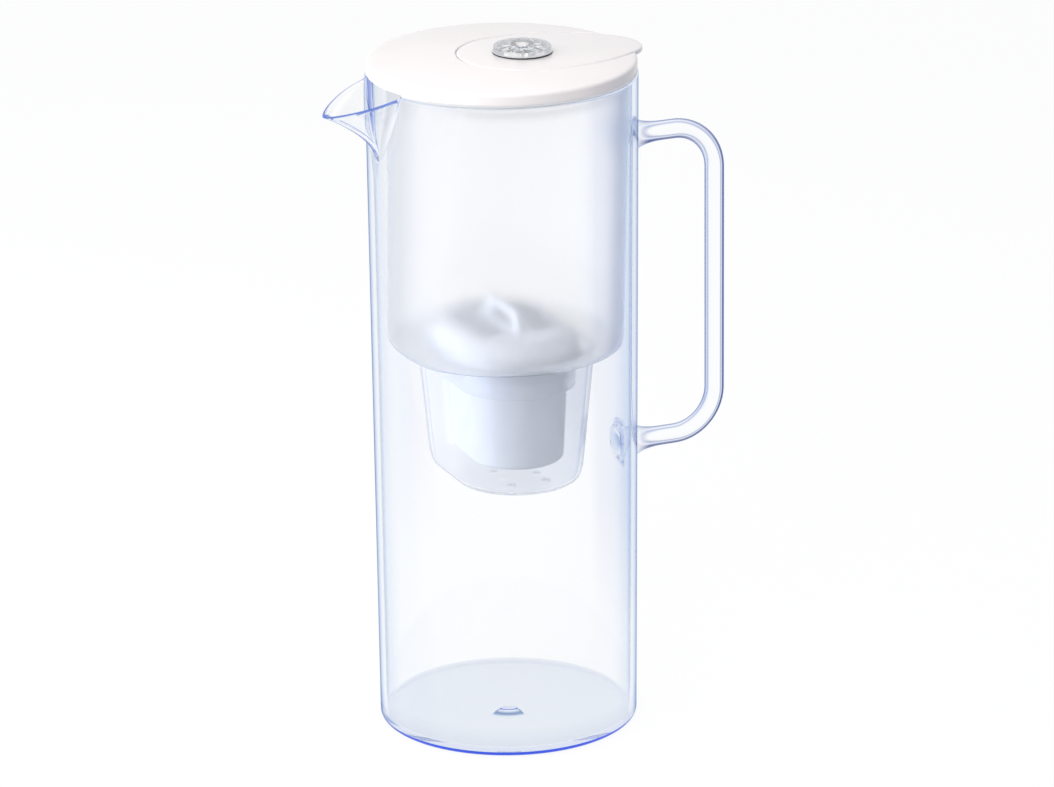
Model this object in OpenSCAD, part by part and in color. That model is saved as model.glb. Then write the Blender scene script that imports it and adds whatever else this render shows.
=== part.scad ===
// Water filter pitcher: a glass carafe with a pulled spout and a rod handle, a frosted hopper that
// hangs inside it, a filter cartridge in the hopper's oval seat, and a lid with a tilting flap and a dial.
// +X points to the handle, -X to the spout and +Z up. The origin is the middle of the base.

/* [Jug] */
// Outer radius at the rim
rim_r = 60; // [57:0.5:66]
// Height of the glass
jug_h = 300; // [285:1:330]
// How much narrower the base is than the rim, in radius
taper = 2; // [0:0.1:5]
// Thickness of the glass wall
wall = 2.8; // [2.2:0.1:3.4]
// Thickness of the glass floor
floor_t = 3.6; // [3:0.1:6]
// Radius of the outer corner of the base
base_corner = 3.8; // [2:0.1:5]

/* [Spout] */
// How far the tip stands out past the rim
spout_reach = 26; // [20:0.5:32]
// How far the tip lies below the rim
spout_drop = 9.7; // [6:0.1:13]
// How far the root of the spout reaches below the rim
spout_depth = 33; // [26:0.5:40]
// Half of the angle that the spout takes of the rim
spout_half = 18.5; // [15:0.5:21]

/* [Handle] */
// Diameter of the glass rod
rod_d = 8.8; // [7:0.1:11]
// Clear space for the fingers between the glass and the rod
finger_gap = 38.9; // [32:0.1:46]
// Height of the middle of the upper arm
arm_high = 263.6; // [240:0.1:268]
// Height of the middle of the lower arm
arm_low = 120.1; // [80:0.1:150]
// Radius of the bends on the middle line
bend_r = 20; // [15:0.5:28]
// How much wider the rod gets where it is fused to the wall
flare = 6.5; // [3:0.1:9]

/* [Hopper] */
// Radial gap between the hopper and the glass at the rim
hop_gap = 0.8; // [0.5:0.1:1.5]
// Thickness of the hopper wall and its floor
hop_t = 1.8; // [1.4:0.1:2.2]
// Depth of the hopper floor below the glass rim
hop_depth = 124; // [110:1:135]
// How much the hopper radius shrinks from rim to floor
hop_taper = 3.4; // [1:0.1:6]
// How far the pour side of the hopper is drawn in at the rim
pour_flat = 11.4; // [8:0.1:14]
// Thickness of the rim flange
flange_t = 1; // [0.8:0.1:1.6]

/* [Cup] */
// Half of the straight stretch of every oval
oval_a = 12.2; // [9:0.1:14]
// Outer radius of the cup where it meets the hopper floor
cup_r = 34.7; // [33.5:0.1:36]
// Height of the cup
cup_h = 60; // [56:0.5:70]
// How much the cup radius shrinks towards its bottom
cup_draft = 5.8; // [3:0.1:6.5]
// Radius of the bottom corner of the cup
cup_corner = 5; // [3:0.1:6]
// Bore of the drain holes
drain_d = 4; // [3:0.1:5]

/* [Cartridge seat] */
// Inner radius of the collar that takes the cartridge
collar_r = 24.8; // [24.3:0.1:25.5]
// Thickness of the collar
collar_t = 1.6; // [1.2:0.1:2]
// Length of the collar below its slope
collar_h = 9.6; // [6:0.1:12]

/* [Cartridge] */
// Outer radius of the case just under the flange
case_r = 23.2; // [22.4:0.1:23.6]
// Outer radius of the case at the bottom
case_low_r = 20.8; // [19.5:0.1:22]
// Height of the case below its flange
case_h = 48; // [44:0.5:50]
// Thickness of the case wall
case_t = 1.4; // [1:0.1:1.8]
// Radius of the cartridge flange
seat_r = 28.4; // [27.6:0.1:29]
// Thickness of the cartridge flange
seat_t = 1.8; // [1.4:0.1:2.4]
// Height of the cap dome above the flange
cap_h = 10; // [8:0.5:14]
// Thickness of the two screens
screen_t = 0.8; // [0.5:0.1:1.2]
// Depth of the resin
resin_h = 20; // [14:0.5:21]
// Thickness of the felt between the media
felt_t = 1.5; // [1:0.1:2.5]

/* [Lid] */
// How far the edge of the lid stays inside the rim
lid_inset = 0.4; // [0:0.1:1]
// Height of the lid at its edge
lid_h = 4.9; // [4.6:0.1:6]
// Rise of the lid from its edge to the middle
crown = 1.6; // [0.8:0.1:2.2]
// Thickness of the cover and of the flap
skin_t = 2.2; // [1.9:0.1:2.4]
// Thickness of the liner plate
liner_t = 1.6; // [1.2:0.1:1.8]
// Depth of the liner collar below the lid
plug_h = 9; // [7:0.5:12]

/* [Flap] */
// Radius of the round end, about the dial
flap_r = 28.8; // [27.5:0.1:30]
// Place of the dial and of the hinge line along X
dial_x = 10; // [8:0.5:12]
// How much the radius of its long sides exceeds the lid's
flap_long = 8.4; // [4:0.2:14]
// How far the thumb tip reaches past the lid's edge
flap_over = 6.7; // [4:0.1:8]
// Gap between flap and lid
flap_gap = 0.5; // [0.45:0.05:0.7]
// Width of the ledge that the flap rests on
ledge = 4; // [3:0.1:5]
// Diameter of the hinge pins
pin_d = 1.6; // [1.2:0.1:1.8]

/* [Dial] */
// Radius of the clear knob
knob_r = 13; // [11:0.1:14]
// Height of the clear knob
knob_h = 2.9; // [2.4:0.1:4]
// Diameter of the knob's shaft
shaft_d = 5; // [4:0.1:6]
// Number of marks on the dial
marks = 12; // [6:1:16]

/* [Hidden] */
$fn = 96;
rest_gap = 0.2;          // air between pieces that only rest on each other
run_fit = 0.05;          // radial play of a turning fit
far = 400;               // longer than anything that it cuts

// Jug
base_r = rim_r - taper;
rim_round = 0.9;
inner_corner = 5;
mark_r = 5.7;
mark_bead = 0.5;

function glass_r(z) = base_r + (rim_r - base_r) * (z - base_corner) / (jug_h - rim_round - base_corner);
function arc(c, r, from, to, steps) =
    [for (i = [0:steps]) let (a = from + (to - from) * i / steps) c + r * [cos(a), sin(a)]];

// Spout: columns run up the pulled patch at fixed angles, from the fold in the wall to the lip
spout_cols = 28;
spout_rows = 9;
spout_sink = 0.03;       // the patch starts this far inside the wall
spout_lap = 1.6;         // and this far below the cut in the wall
tip_soft = 0.15;         // rounding of the tip, as a share of the half angle
function soft(t) = (sqrt(t * t + tip_soft * tip_soft) - tip_soft) / (sqrt(1 + tip_soft * tip_soft) - tip_soft);
function fold_z(t) = jug_h - spout_depth * (1 - pow(abs(t), 1.43));
function lip_z(t) = jug_h - spout_drop * pow(1 - soft(t), 0.8);
function lip_out(t) = spout_reach * pow(max(0, 1 - soft(t)), 0.7);
function patch(t, w, inward) =
    let (z0 = fold_z(t) - spout_lap, z = z0 + (lip_z(t) - z0) * w,
         r = glass_r(z) - (inward ? wall - spout_sink : spout_sink) + lip_out(t) * w * w,
         a = 180 + t * spout_half)
    [r * cos(a), r * sin(a), z];

// Handle
rod_x = rim_r + finger_gap + rod_d / 2;
flare_len = 13;
flare_steps = 12;
flare_curve = 1.9;       // above 1, the root curves out into the wall
bite = 3;                // how far the arms run into the wall before the wall's cone trims them

// Hopper
flange_z = jug_h + rest_gap;
hop_z = jug_h - hop_depth;
hop_top = flange_z + flange_t;
hop_r1 = rim_r - wall - hop_gap;
hop_r0 = hop_r1 - hop_taper;
hop_corner = 3;
lid_r = rim_r - lid_inset;
flange_r = lid_r - 0.2;
flange_in = hop_r1 - hop_t;
flat_r1 = 120;           // the drawn-in side is a shallow arc, so that it doesn't look cut
flat_r0 = flat_r1 + 5;
flat_x = flat_r1 - (hop_r1 - pour_flat);
spout_clear = spout_half + 1.5;

// Cup and seat
slope_low = hop_z - 5.6; // level at which the seat's slope turns into the collar, inside
slope_run = hop_z + hop_t - slope_low;
collar_low = slope_low - collar_h;
slope_lift = 0.8 * collar_t;
cup_z = hop_z - cup_h;
drains = 6;

// Cartridge
seat_z = slope_low + (seat_r - collar_r) + rest_gap;
case_z = seat_z - case_h;
bed_gap = 0.1;
function case_out(z) = case_low_r + (case_r - case_low_r) * (z - case_z) / case_h;
screen_z = case_z + case_t;
resin_z = screen_z + screen_t;
felt_z = resin_z + resin_h;
carbon_z = felt_z + felt_t;
inlet_z = seat_z + seat_t - case_t - screen_t;
seal_r = collar_r + 1.2;
seal_h = 2.2;
cap_z = seat_z + seat_t;
cap_t = 1.4;
slot_w = 2;
slot_pitch = 4.2;
cap_slots = 2 * floor((oval_a + seat_r / 6) / slot_pitch) + 1;
case_slots = 5;
grip_t = 2.4;
grip_h = 9;              // height of the grip bridge above the cap
grip_l = 19;             // half of its length at the foot
grip_in = 12;            // half of the length of the opening under it

// Lid
flap_tip = lid_r + flap_over;
flap_side_r = lid_r + flap_long;
lid_z = hop_top + rest_gap;
lid_round = 1.4;
skirt_t = 1.8;
lid_steps = 14;
liner_r = lid_r - skirt_t - rest_gap;
plug_gap = 1.1;
plug_t = 1.6;
seal_t = plug_gap - 2.2 * rest_gap;  // the hopper narrows below its rim
mouth_r = hop_r1 - hop_t - plug_gap - plug_t - 0.5;
function top_z(r) = lid_z + lid_h + crown * (1 - pow(r / lid_r, 2));

// Flap: an egg of three tangent arcs, a round end, two long sides and a thumb tip
lean = 9;
side_c = (flap_side_r - flap_r) * [sin(lean), -cos(lean)] + [dial_x, 0];
tip_r = (pow(flap_side_r, 2) - pow(side_c[1], 2) - pow(flap_tip - side_c[0], 2))
    / (2 * (flap_side_r - (flap_tip - side_c[0])));
tip_x = flap_tip - tip_r;
tip_turn = atan2(-side_c[1], tip_x - side_c[0]);
function half_egg(d) = concat(
    arc([tip_x, 0], tip_r + d, 0, tip_turn, 8),
    arc(side_c, flap_side_r + d, tip_turn, 90 + lean, 14),
    arc([dial_x, 0], flap_r + d, 90 + lean, 180, 16));
function egg(d) = let (h = half_egg(d), n = len(h)) concat(h, [for (i = [n - 2:-1:1]) [h[i][0], -h[i][1]]]);
hinge_z = lid_z + 1.8;
boss_r = 1.7;
boss_in = flap_r + flap_gap + 0.3;
boss_out = boss_in + 4.2;
knuckle_out = flap_r - 0.3;
knuckle_in = knuckle_out - 3.4;
ledge_x = dial_x + 8;
ledge_top = lid_z + liner_t;
inset = ledge + 0.8;
seal_w = 2.2;            // width of the gasket on the ledge

// Dial
well_r = knob_r - 0.4;
well_h = 0.9;
scale_t = 0.7;
ring_t = 0.6;
ring_w = 2.2;
top_c = top_z(dial_x);
knob_z = top_c + ring_t + 0.1;
hub_r = 2.4;
hub_h = 0.5;
groove_t = 0.8;
groove_d = 0.6;
spring_r = 8.5;
spring_t = 0.4;
liner_low = ledge_top + rest_gap;
clip_z = liner_low - rest_gap - groove_t;
shaft_end = clip_z - 0.8;

module ring2(r_out, r_in) {
    difference() {
        circle(r_out);
        circle(r_in);
    }
}

// Sweeps a half profile round the oval that the cup and the cartridge share
module oval() {
    for (turn = [0, 180])
        rotate([0, 0, turn])
            translate([0, oval_a, 0])
                rotate_extrude(angle = 180) children();
    rotate([90, 0, 0])
        linear_extrude(2 * oval_a, center = true) {
            children();
            mirror([1, 0]) children();
        }
}

module oval2(r) {
    for (s = [-1, 1]) translate([0, s * oval_a]) circle(r);
    square([2 * r, 2 * oval_a], center = true);
}

// Everything below the crowned surface, sunk by a given depth
module under_crown(sink, r) {
    rotate_extrude()
        polygon(concat(
            [[0, lid_z - far / 4], [r, lid_z - far / 4]],
            [for (i = [lid_steps:-1:0]) let (q = r * i / lid_steps) [q, top_z(q) - sink]]));
}

// The hopper's plan at the rim, an arc of the rim with a drawn-in pour side
module hopper_plan(inward) {
    intersection() {
        circle(hop_r1 - inward);
        translate([flat_x, 0]) circle(flat_r1 - inward);
    }
}

module spout_patch() {
    n = spout_cols;
    m = spout_rows;
    pts = [for (inward = [false, true], j = [0:m], i = [0:n]) patch(-1 + 2 * i / n, j / m, inward)];
    s = (n + 1) * (m + 1);
    function id(side, j, i) = side * s + j * (n + 1) + i;
    sheets = [for (j = [0:m - 1], i = [0:n - 1]) each [
        [id(0, j, i), id(0, j + 1, i), id(0, j + 1, i + 1)],
        [id(0, j, i), id(0, j + 1, i + 1), id(0, j, i + 1)],
        [id(1, j, i), id(1, j, i + 1), id(1, j + 1, i + 1)],
        [id(1, j, i), id(1, j + 1, i + 1), id(1, j + 1, i)]]];
    edges = [for (i = [0:n - 1]) each [
        [id(0, 0, i), id(0, 0, i + 1), id(1, 0, i + 1)],
        [id(0, 0, i), id(1, 0, i + 1), id(1, 0, i)],
        [id(0, m, i), id(1, m, i), id(1, m, i + 1)],
        [id(0, m, i), id(1, m, i + 1), id(0, m, i + 1)]]];
    ends = [for (j = [0:m - 1]) each [
        [id(0, j, 0), id(1, j, 0), id(1, j + 1, 0)],
        [id(0, j, 0), id(1, j + 1, 0), id(0, j + 1, 0)],
        [id(0, j, n), id(1, j + 1, n), id(1, j, n)],
        [id(0, j, n), id(0, j + 1, n), id(1, j + 1, n)]]];
    polyhedron(pts, concat(sheets, edges, ends));
}

module glass_jug() {
    color([0.80, 0.88, 0.97, 0.5]) {
        difference() {
            rotate_extrude()
                polygon(concat(
                    [[0, 0]],
                    arc([base_r - base_corner, base_corner], base_corner, -90, 0, 8),
                    arc([rim_r - rim_round, jug_h - rim_round], rim_round, 0, 90, 4),
                    arc([rim_r - wall + rim_round, jug_h - rim_round], rim_round, 90, 180, 4),
                    arc([base_r - wall - inner_corner, floor_t + inner_corner], inner_corner, 0, -90, 8),
                    [[0, floor_t]]));
            // The wall is cut away where the spout is pulled out of it
            rotate([90, 0, -90])
                linear_extrude(rim_r + wall)
                    polygon(concat(
                        [for (i = [-12:12]) let (t = 0.96 * i / 12)
                            [-rim_r * sin(t * spout_half), fold_z(t) + 1]],
                        [[-rim_r * sin(spout_half * 0.96), jug_h + 5], [rim_r * sin(spout_half * 0.96), jug_h + 5]]));
        }
        spout_patch();
        // Mould mark in the middle of the floor
        translate([0, 0, floor_t])
            rotate_extrude() translate([mark_r, 0]) circle(mark_bead);
    }
}

module arm(z) {
    end = rod_x - bend_r;
    start = glass_r(z) - bite;
    translate([start, 0, z]) rotate([0, 90, 0]) cylinder(d = rod_d, h = end - start);
    // The root flares towards the wall, tighter the nearer it gets
    translate([start, 0, z])
        rotate([0, 90, 0])
            rotate_extrude()
                polygon(concat(
                    [[0, 0], [rod_d / 2 + flare, 0]],
                    [for (i = [0:flare_steps]) let (s = i / flare_steps)
                        [rod_d / 2 + flare * pow(1 - s, flare_curve), bite + flare_len * s]],
                    [[0, bite + flare_len]]));
}

module bend(z, from) {
    translate([rod_x - bend_r, 0, z])
        rotate([90, 0, 0])
            rotate([0, 0, from])
                rotate_extrude(angle = 90) translate([bend_r, 0]) circle(d = rod_d);
}

module handle_rod() {
    color([0.72, 0.82, 0.96, 0.6])
        difference() {
            union() {
                arm(arm_high);
                arm(arm_low);
                bend(arm_high - bend_r, 0);
                bend(arm_low + bend_r, -90);
                translate([rod_x, 0, arm_low + bend_r])
                    cylinder(d = rod_d, h = arm_high - arm_low - 2 * bend_r);
            }
            cylinder(r1 = glass_r(0), r2 = glass_r(jug_h), h = jug_h);
        }
}

module hopper_body(inward, low, corner) {
    intersection() {
        rotate_extrude()
            polygon(concat(
                [[0, low]],
                arc([hop_r0 - inward - corner, low + corner], corner, -90, 0, 6),
                [[hop_r1 - inward, hop_top], [0, hop_top]]));
        translate([flat_x, 0, hop_z])
            cylinder(r1 = flat_r0 - inward, r2 = flat_r1 - inward, h = hop_top - hop_z);
    }
}

module hopper_shell() {
    color([0.93, 0.95, 0.97, 0.6]) {
        difference() {
            union() {
                hopper_body(0, hop_z, hop_corner);
                // Flange on the glass rim, open over the spout
                translate([0, 0, flange_z])
                    linear_extrude(flange_t)
                        difference() {
                            ring2(flange_r, flange_in);
                            polygon([[0, 0], far * [-cos(spout_clear), sin(spout_clear)],
                                far * [-cos(spout_clear), -sin(spout_clear)]]);
                        }
            }
            hopper_inside();
            translate([0, 0, hop_z - 1]) linear_extrude(hop_t + 2) oval2(collar_r + slope_run - hop_t / 2);
        }
        // Slope and collar that seat the cartridge
        oval()
            polygon([[collar_r, collar_low], [collar_r + collar_t, collar_low],
                [collar_r + collar_t, slope_low - slope_lift],
                [collar_r + slope_run, hop_z + hop_t - slope_lift - collar_t],
                [collar_r + slope_run, hop_z + hop_t],
                [collar_r, slope_low]]);
    }
}

module hopper_inside() {
    intersection() {
        rotate_extrude()
            polygon(concat(
                [[0, hop_z + hop_t]],
                arc([hop_r0 - hop_t - hop_corner / 2, hop_z + hop_t + hop_corner / 2], hop_corner / 2, -90, 0, 4),
                [[hop_r1 - hop_t, hop_top + 1], [0, hop_top + 1]]));
        translate([flat_x, 0, hop_z])
            cylinder(r1 = flat_r0 - hop_t, r2 = flat_r1 - hop_t, h = hop_top - hop_z + 1);
    }
}

module filter_cup() {
    draft = cup_draft / cup_h;
    color([0.90, 0.93, 0.97, 0.6])
        difference() {
            oval()
                difference() {
                    polygon(concat(
                        [[0, cup_z]],
                        arc([cup_r - cup_draft - cup_corner, cup_z + cup_corner], cup_corner, -90, -atan(draft), 6),
                        [[cup_r, hop_z], [0, hop_z]]));
                    polygon(concat(
                        [[0, cup_z + hop_t]],
                        arc([cup_r - cup_draft - cup_corner, cup_z + cup_corner], cup_corner - hop_t, -90, -atan(draft), 6),
                        [[cup_r - hop_t, hop_z], [cup_r - hop_t, hop_z + 1], [0, hop_z + 1]]));
                }
            // Drain holes in the bottom, in two rows along the oval
            for (i = [0:drains - 1], s = [-1, 1])
                translate([s * collar_r / 3, (i - (drains - 1) / 2) * 2.5 * drain_d, cup_z - 1])
                    cylinder(d = drain_d, h = hop_t + 2);
        }
}

module cartridge_case() {
    color([0.86, 0.89, 0.94])
        difference() {
            oval()
                polygon(concat(
                    [[0, case_z]],
                    arc([case_low_r - 2, case_z + 2], 2, -90, 0, 4),
                    [[case_r, seat_z], [seat_r, seat_z], [seat_r, cap_z], [0, cap_z]]));
            oval()
                polygon([[0, case_z + case_t], [case_low_r - case_t, case_z + case_t],
                    [case_r - case_t, seat_z], [case_r - case_t, cap_z + 1], [0, cap_z + 1]]);
            // Outlet slots in the bottom
            for (i = [0:case_slots - 1])
                translate([0, (i - (case_slots - 1) / 2) * oval_a / 2, case_z])
                    cube([case_low_r, slot_w, 4 * case_t], center = true);
        }
}

module cartridge_cap() {
    rise = cap_h - cap_t;
    color([0.80, 0.84, 0.90]) {
        difference() {
            oval()
                polygon(concat(
                    [[0, cap_z], [seat_r, cap_z]],
                    [for (i = [0:6]) let (a = i * 15) [seat_r - rise * (1 - cos(a)), cap_z + cap_t + rise * sin(a)]],
                    [[0, cap_z + cap_h]]));
            oval()
                polygon(concat(
                    [[0, cap_z - 1], [seat_r - cap_t, cap_z - 1]],
                    [for (i = [0:6]) let (a = i * 15)
                        [seat_r - cap_t - (rise - cap_t) * (1 - cos(a)), cap_z + cap_t + (rise - cap_t) * sin(a)]],
                    [[0, cap_z + rise]]));
            // Inlet windows on both sides of the grip
            for (s = [-1, 1], i = [0:cap_slots - 1])
                translate([s * (seat_r - rise) * 0.62, (i - (cap_slots - 1) / 2) * slot_pitch, cap_z + cap_h])
                    cube([seat_r * 0.42, slot_w, 3 * cap_t], center = true);
        }
        // Grip bridge
        translate([0, 0, cap_z + cap_h - cap_t / 2])
            rotate([90, 0, 90])
                linear_extrude(grip_t, center = true)
                    difference() {
                        polygon([[-grip_l, 0], [-0.8 * grip_l, grip_h], [0.8 * grip_l, grip_h], [grip_l, 0]]);
                        polygon([[-grip_in, -cap_t], [-0.85 * grip_in, 0.6 * grip_h],
                            [0.85 * grip_in, 0.6 * grip_h], [grip_in, -cap_t]]);
                    }
    }
}

// A layer that fills the case between two heights
module bed(z, h, shade) {
    color(shade)
        oval()
            polygon([[0, z], [case_out(z) - case_t - bed_gap, z],
                [min(case_out(z + h), case_r) - case_t - bed_gap, z + h], [0, z + h]]);
}

module outlet_screen() {
    bed(screen_z, screen_t, "whitesmoke");
}

module resin_bed() {
    bed(resin_z, resin_h, "tan");
}

module middle_felt() {
    bed(felt_z, felt_t, "white");
}

module carbon_bed() {
    bed(carbon_z, inlet_z - carbon_z, "dimgray");
}

module inlet_screen() {
    bed(inlet_z, screen_t, "gainsboro");
}

module cartridge_seal() {
    color([0.90, 0.91, 0.93])
        oval()
            polygon([[case_r + rest_gap / 2, seat_z - seal_h], [seal_r - 0.4, seat_z - seal_h],
                [seal_r + 0.9, seat_z - 0.9], [seal_r + 0.9, seat_z], [case_r + rest_gap / 2, seat_z]]);
}

module lid_cover() {
    color("white")
        difference() {
            intersection() {
                rotate_extrude()
                    polygon(concat(
                        [[0, lid_z], [lid_r, lid_z]],
                        arc([lid_r - lid_round, lid_z + lid_h - lid_round], lid_round, 0, 90, 6),
                        [for (i = [lid_steps - 1:-1:0]) let (q = (lid_r - lid_round) * i / lid_steps) [q, top_z(q)]]));
                under_crown(0, lid_r);
            }
            // Hollow inside the skirt
            intersection() {
                under_crown(skin_t, lid_r - skirt_t);
                translate([0, 0, lid_z - 1]) cylinder(r = lid_r - skirt_t, h = far / 4);
            }
            // Opening for the flap, and the notch in the rim for its thumb tip
            translate([0, 0, lid_z + lid_h - skin_t - rest_gap])
                linear_extrude(far / 4) polygon(egg(flap_gap));
            intersection() {
                translate([0, 0, lid_z - 1]) linear_extrude(far / 4) polygon(egg(flap_gap));
                cylinder(r = lid_r - skirt_t, h = far);
            }
        }
}

module half_plane(x0) {
    translate([x0, -far]) square([far, 2 * far]);
}

// The mouth under the flap: wide open round the sinking end, with a ledge round the rising one
module mouth2() {
    intersection() {
        union() {
            difference() {
                polygon(egg(flap_gap));
                half_plane(ledge_x);
            }
            polygon(egg(-ledge));
        }
        circle(mouth_r);
    }
}

module lid_liner() {
    plug_z = lid_z - plug_h;
    color([0.95, 0.95, 0.96])
        difference() {
            union() {
                translate([0, 0, lid_z]) cylinder(r = liner_r, h = liner_t);
                // Upstand that carries the cover
                translate([0, 0, ledge_top])
                    linear_extrude(lid_h - skin_t - liner_t - rest_gap)
                        difference() {
                            ring2(liner_r, liner_r - plug_t);
                            polygon(egg(flap_gap + 0.5));
                        }
                // Collar that plugs the hopper
                translate([0, 0, plug_z])
                    linear_extrude(plug_h + 0.1)
                        difference() {
                            hopper_plan(hop_t + plug_gap);
                            hopper_plan(hop_t + plug_gap + plug_t);
                        }
                // Bosses that hold the hinge pins
                for (s = [-1, 1])
                    translate([dial_x, s * (boss_in + boss_out) / 2, hinge_z])
                        rotate([90, 0, 0]) cylinder(r = boss_r, h = boss_out - boss_in, center = true);
            }
            translate([0, 0, lid_z - 1]) linear_extrude(far) mouth2();
            for (s = [-1, 1])
                translate([dial_x, s * (boss_in + boss_out) / 2, hinge_z])
                    rotate([90, 0, 0]) cylinder(d = pin_d, h = boss_out - boss_in + 2, center = true);
        }
}

module lid_seal() {
    h = 2.4;
    color([0.88, 0.89, 0.91])
        translate([0, 0, lid_z - plug_h + 2])
            linear_extrude(h)
                difference() {
                    hopper_plan(hop_t + plug_gap - seal_t);
                    hopper_plan(hop_t + plug_gap);
                }
}

module flap_cover() {
    edge = 0.6;
    color([0.99, 0.98, 0.98])
        difference() {
            intersection() {
                union() {
                    translate([0, 0, lid_z]) linear_extrude(lid_h + far / 8) polygon(egg(-edge));
                    translate([0, 0, lid_z]) linear_extrude(lid_h - edge) polygon(egg(0));
                    intersection() {
                        translate([0, 0, lid_z]) linear_extrude(far / 8) polygon(egg(0));
                        under_crown(edge, flap_tip + 2);
                    }
                }
                under_crown(0, flap_tip + 2);
            }
            under_crown(skin_t, flap_tip + 2);
            // Well for the dial
            translate([dial_x, 0, top_c - well_h]) cylinder(r = well_r, h = far);
            translate([dial_x, 0, lid_z]) cylinder(d = shaft_d + 2 * run_fit, h = far);
        }
}

module flap_liner() {
    root = flap_r - inset - 1;
    color([0.96, 0.96, 0.97])
        difference() {
            union() {
                intersection() {
                    translate([0, 0, liner_low])
                        linear_extrude(far / 8)
                            intersection() {
                                polygon(egg(-inset));
                                circle(mouth_r - 0.8);
                            }
                    under_crown(skin_t, flap_tip + 2);
                }
                // Knuckles, hung from the cover
                for (s = [-1, 1]) {
                    translate([dial_x, s * (knuckle_in + knuckle_out) / 2, hinge_z])
                        rotate([90, 0, 0]) cylinder(r = boss_r, h = knuckle_out - knuckle_in, center = true);
                    intersection() {
                        translate([dial_x, s * (knuckle_out + root) / 2, hinge_z + 5])
                            cube([2 * boss_r, knuckle_out - root, 10], center = true);
                        under_crown(skin_t, flap_tip + 2);
                    }
                }
            }
            for (s = [-1, 1])
                translate([dial_x, s * (knuckle_in + knuckle_out) / 2, hinge_z])
                    rotate([90, 0, 0])
                        cylinder(d = pin_d + 2 * run_fit, h = knuckle_out - knuckle_in + 2, center = true);
            translate([dial_x, 0, lid_z - 1]) cylinder(d = shaft_d + 2 * run_fit, h = far);
            // Pocket for the detent spring
            translate([dial_x, 0, ledge_top + 1.2]) cylinder(r = spring_r + 0.5, h = far);
        }
}

module hinge_pins() {
    color("silver")
        for (s = [-1, 1])
            translate([dial_x, s * (knuckle_in + boss_out) / 2, hinge_z])
                rotate([90, 0, 0]) cylinder(d = pin_d, h = boss_out - knuckle_in, center = true);
}

module flap_seal() {
    color([0.85, 0.86, 0.88])
        intersection() {
            translate([0, 0, ledge_top + rest_gap])
                linear_extrude(far / 8)
                    difference() {
                        intersection() {
                            polygon(egg(-1.2));
                            circle(mouth_r + seal_w + 1);
                            half_plane(ledge_x + 1);
                        }
                        intersection() {
                            polygon(egg(-1.2 - seal_w));
                            circle(mouth_r + 1);
                        }
                    }
            under_crown(skin_t, flap_tip + 2);
        }
}

module dial_scale() {
    color([0.75, 0.77, 0.80])
        translate([dial_x, 0, top_c - well_h])
            difference() {
                cylinder(r = well_r - 0.1, h = scale_t);
                translate([0, 0, -1]) cylinder(d = shaft_d + 2 * run_fit, h = scale_t + 2);
            }
}

module dial_ring() {
    color([0.93, 0.94, 0.95])
        translate([dial_x, 0, top_c + 0.1])
            difference() {
                cylinder(r = knob_r + 0.3, h = ring_t);
                translate([0, 0, -1]) cylinder(r = knob_r - ring_w, h = ring_t + 2);
            }
}

module dial_cap() {
    rim = knob_h * 0.62;
    color([0.90, 0.93, 0.96, 0.7])
        translate([dial_x, 0, 0])
            difference() {
                union() {
                    translate([0, 0, knob_z])
                        rotate_extrude()
                            polygon([[0, 0], [knob_r, 0], [knob_r - 0.4, rim], [knob_r - 2.4, knob_h - 0.3], [0, knob_h]]);
                    translate([0, 0, shaft_end]) cylinder(d = shaft_d, h = knob_z - shaft_end + 0.5);
                }
                // Cut facets, one for each mark
                for (i = [0:marks - 1])
                    rotate([0, 0, 360 * (i + 0.5) / marks])
                        translate([knob_r * 0.35, 0, knob_z + knob_h - 0.7])
                            rotate([90, 0, 90])
                                linear_extrude(knob_r) polygon([[0, 0], [0.9, 2], [-0.9, 2]]);
                // Recess for the hub
                translate([0, 0, knob_z + knob_h - hub_h - 0.2]) cylinder(r = hub_r, h = 5);
                // Groove for the clip
                translate([0, 0, clip_z])
                    rotate_extrude() translate([shaft_d / 2 - groove_d, 0]) square([5, groove_t]);
            }
}

module dial_hub() {
    color([0.95, 0.88, 0.86])
        translate([dial_x, 0, knob_z + knob_h - hub_h - 0.2]) cylinder(r = hub_r - 0.05, h = hub_h);
}

module detent_spring() {
    z = ledge_top + 1.2;
    color("silver")
        translate([dial_x, 0, z]) {
            difference() {
                cylinder(r = spring_r, h = spring_t);
                translate([0, 0, -1]) cylinder(r = spring_r - 2.2, h = spring_t + 2);
            }
            translate([spring_r - 1.1, 0, spring_t]) sphere(0.5);
        }
}

module dial_clip() {
    color("silver")
        translate([dial_x, 0, clip_z])
            linear_extrude(groove_t - 0.1)
                difference() {
                    circle(shaft_d / 2 + 1.6);
                    circle(shaft_d / 2 - groove_d);
                    translate([0, -shaft_d * 0.3]) square([far, shaft_d * 0.6]);
                }
}

glass_jug();
handle_rod();
hopper_shell();
filter_cup();
cartridge_case();
cartridge_cap();
inlet_screen();
carbon_bed();
middle_felt();
resin_bed();
outlet_screen();
cartridge_seal();
lid_cover();
lid_liner();
lid_seal();
flap_cover();
flap_liner();
hinge_pins();
flap_seal();
dial_scale();
dial_ring();
dial_cap();
dial_hub();
detent_spring();
dial_clip();
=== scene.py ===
# %% [markdown]
# # Dressing a water filter pitcher
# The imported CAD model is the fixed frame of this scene: a glass jug with a pulled spout and a rod handle, a
# frosted hopper with a cartridge in its oval cup, and a white lid with a tilting flap and a dial. Blender adds
# what solids alone can't show, which is how glass, frosted plastic and glossy plastic treat light. Everything
# is in metres in the frame's own axes: +X points to the handle, -X to the spout and +Z up.

# %% Load the frame
import math

import bpy
import numpy as np
from mathutils import Matrix, Vector


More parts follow.
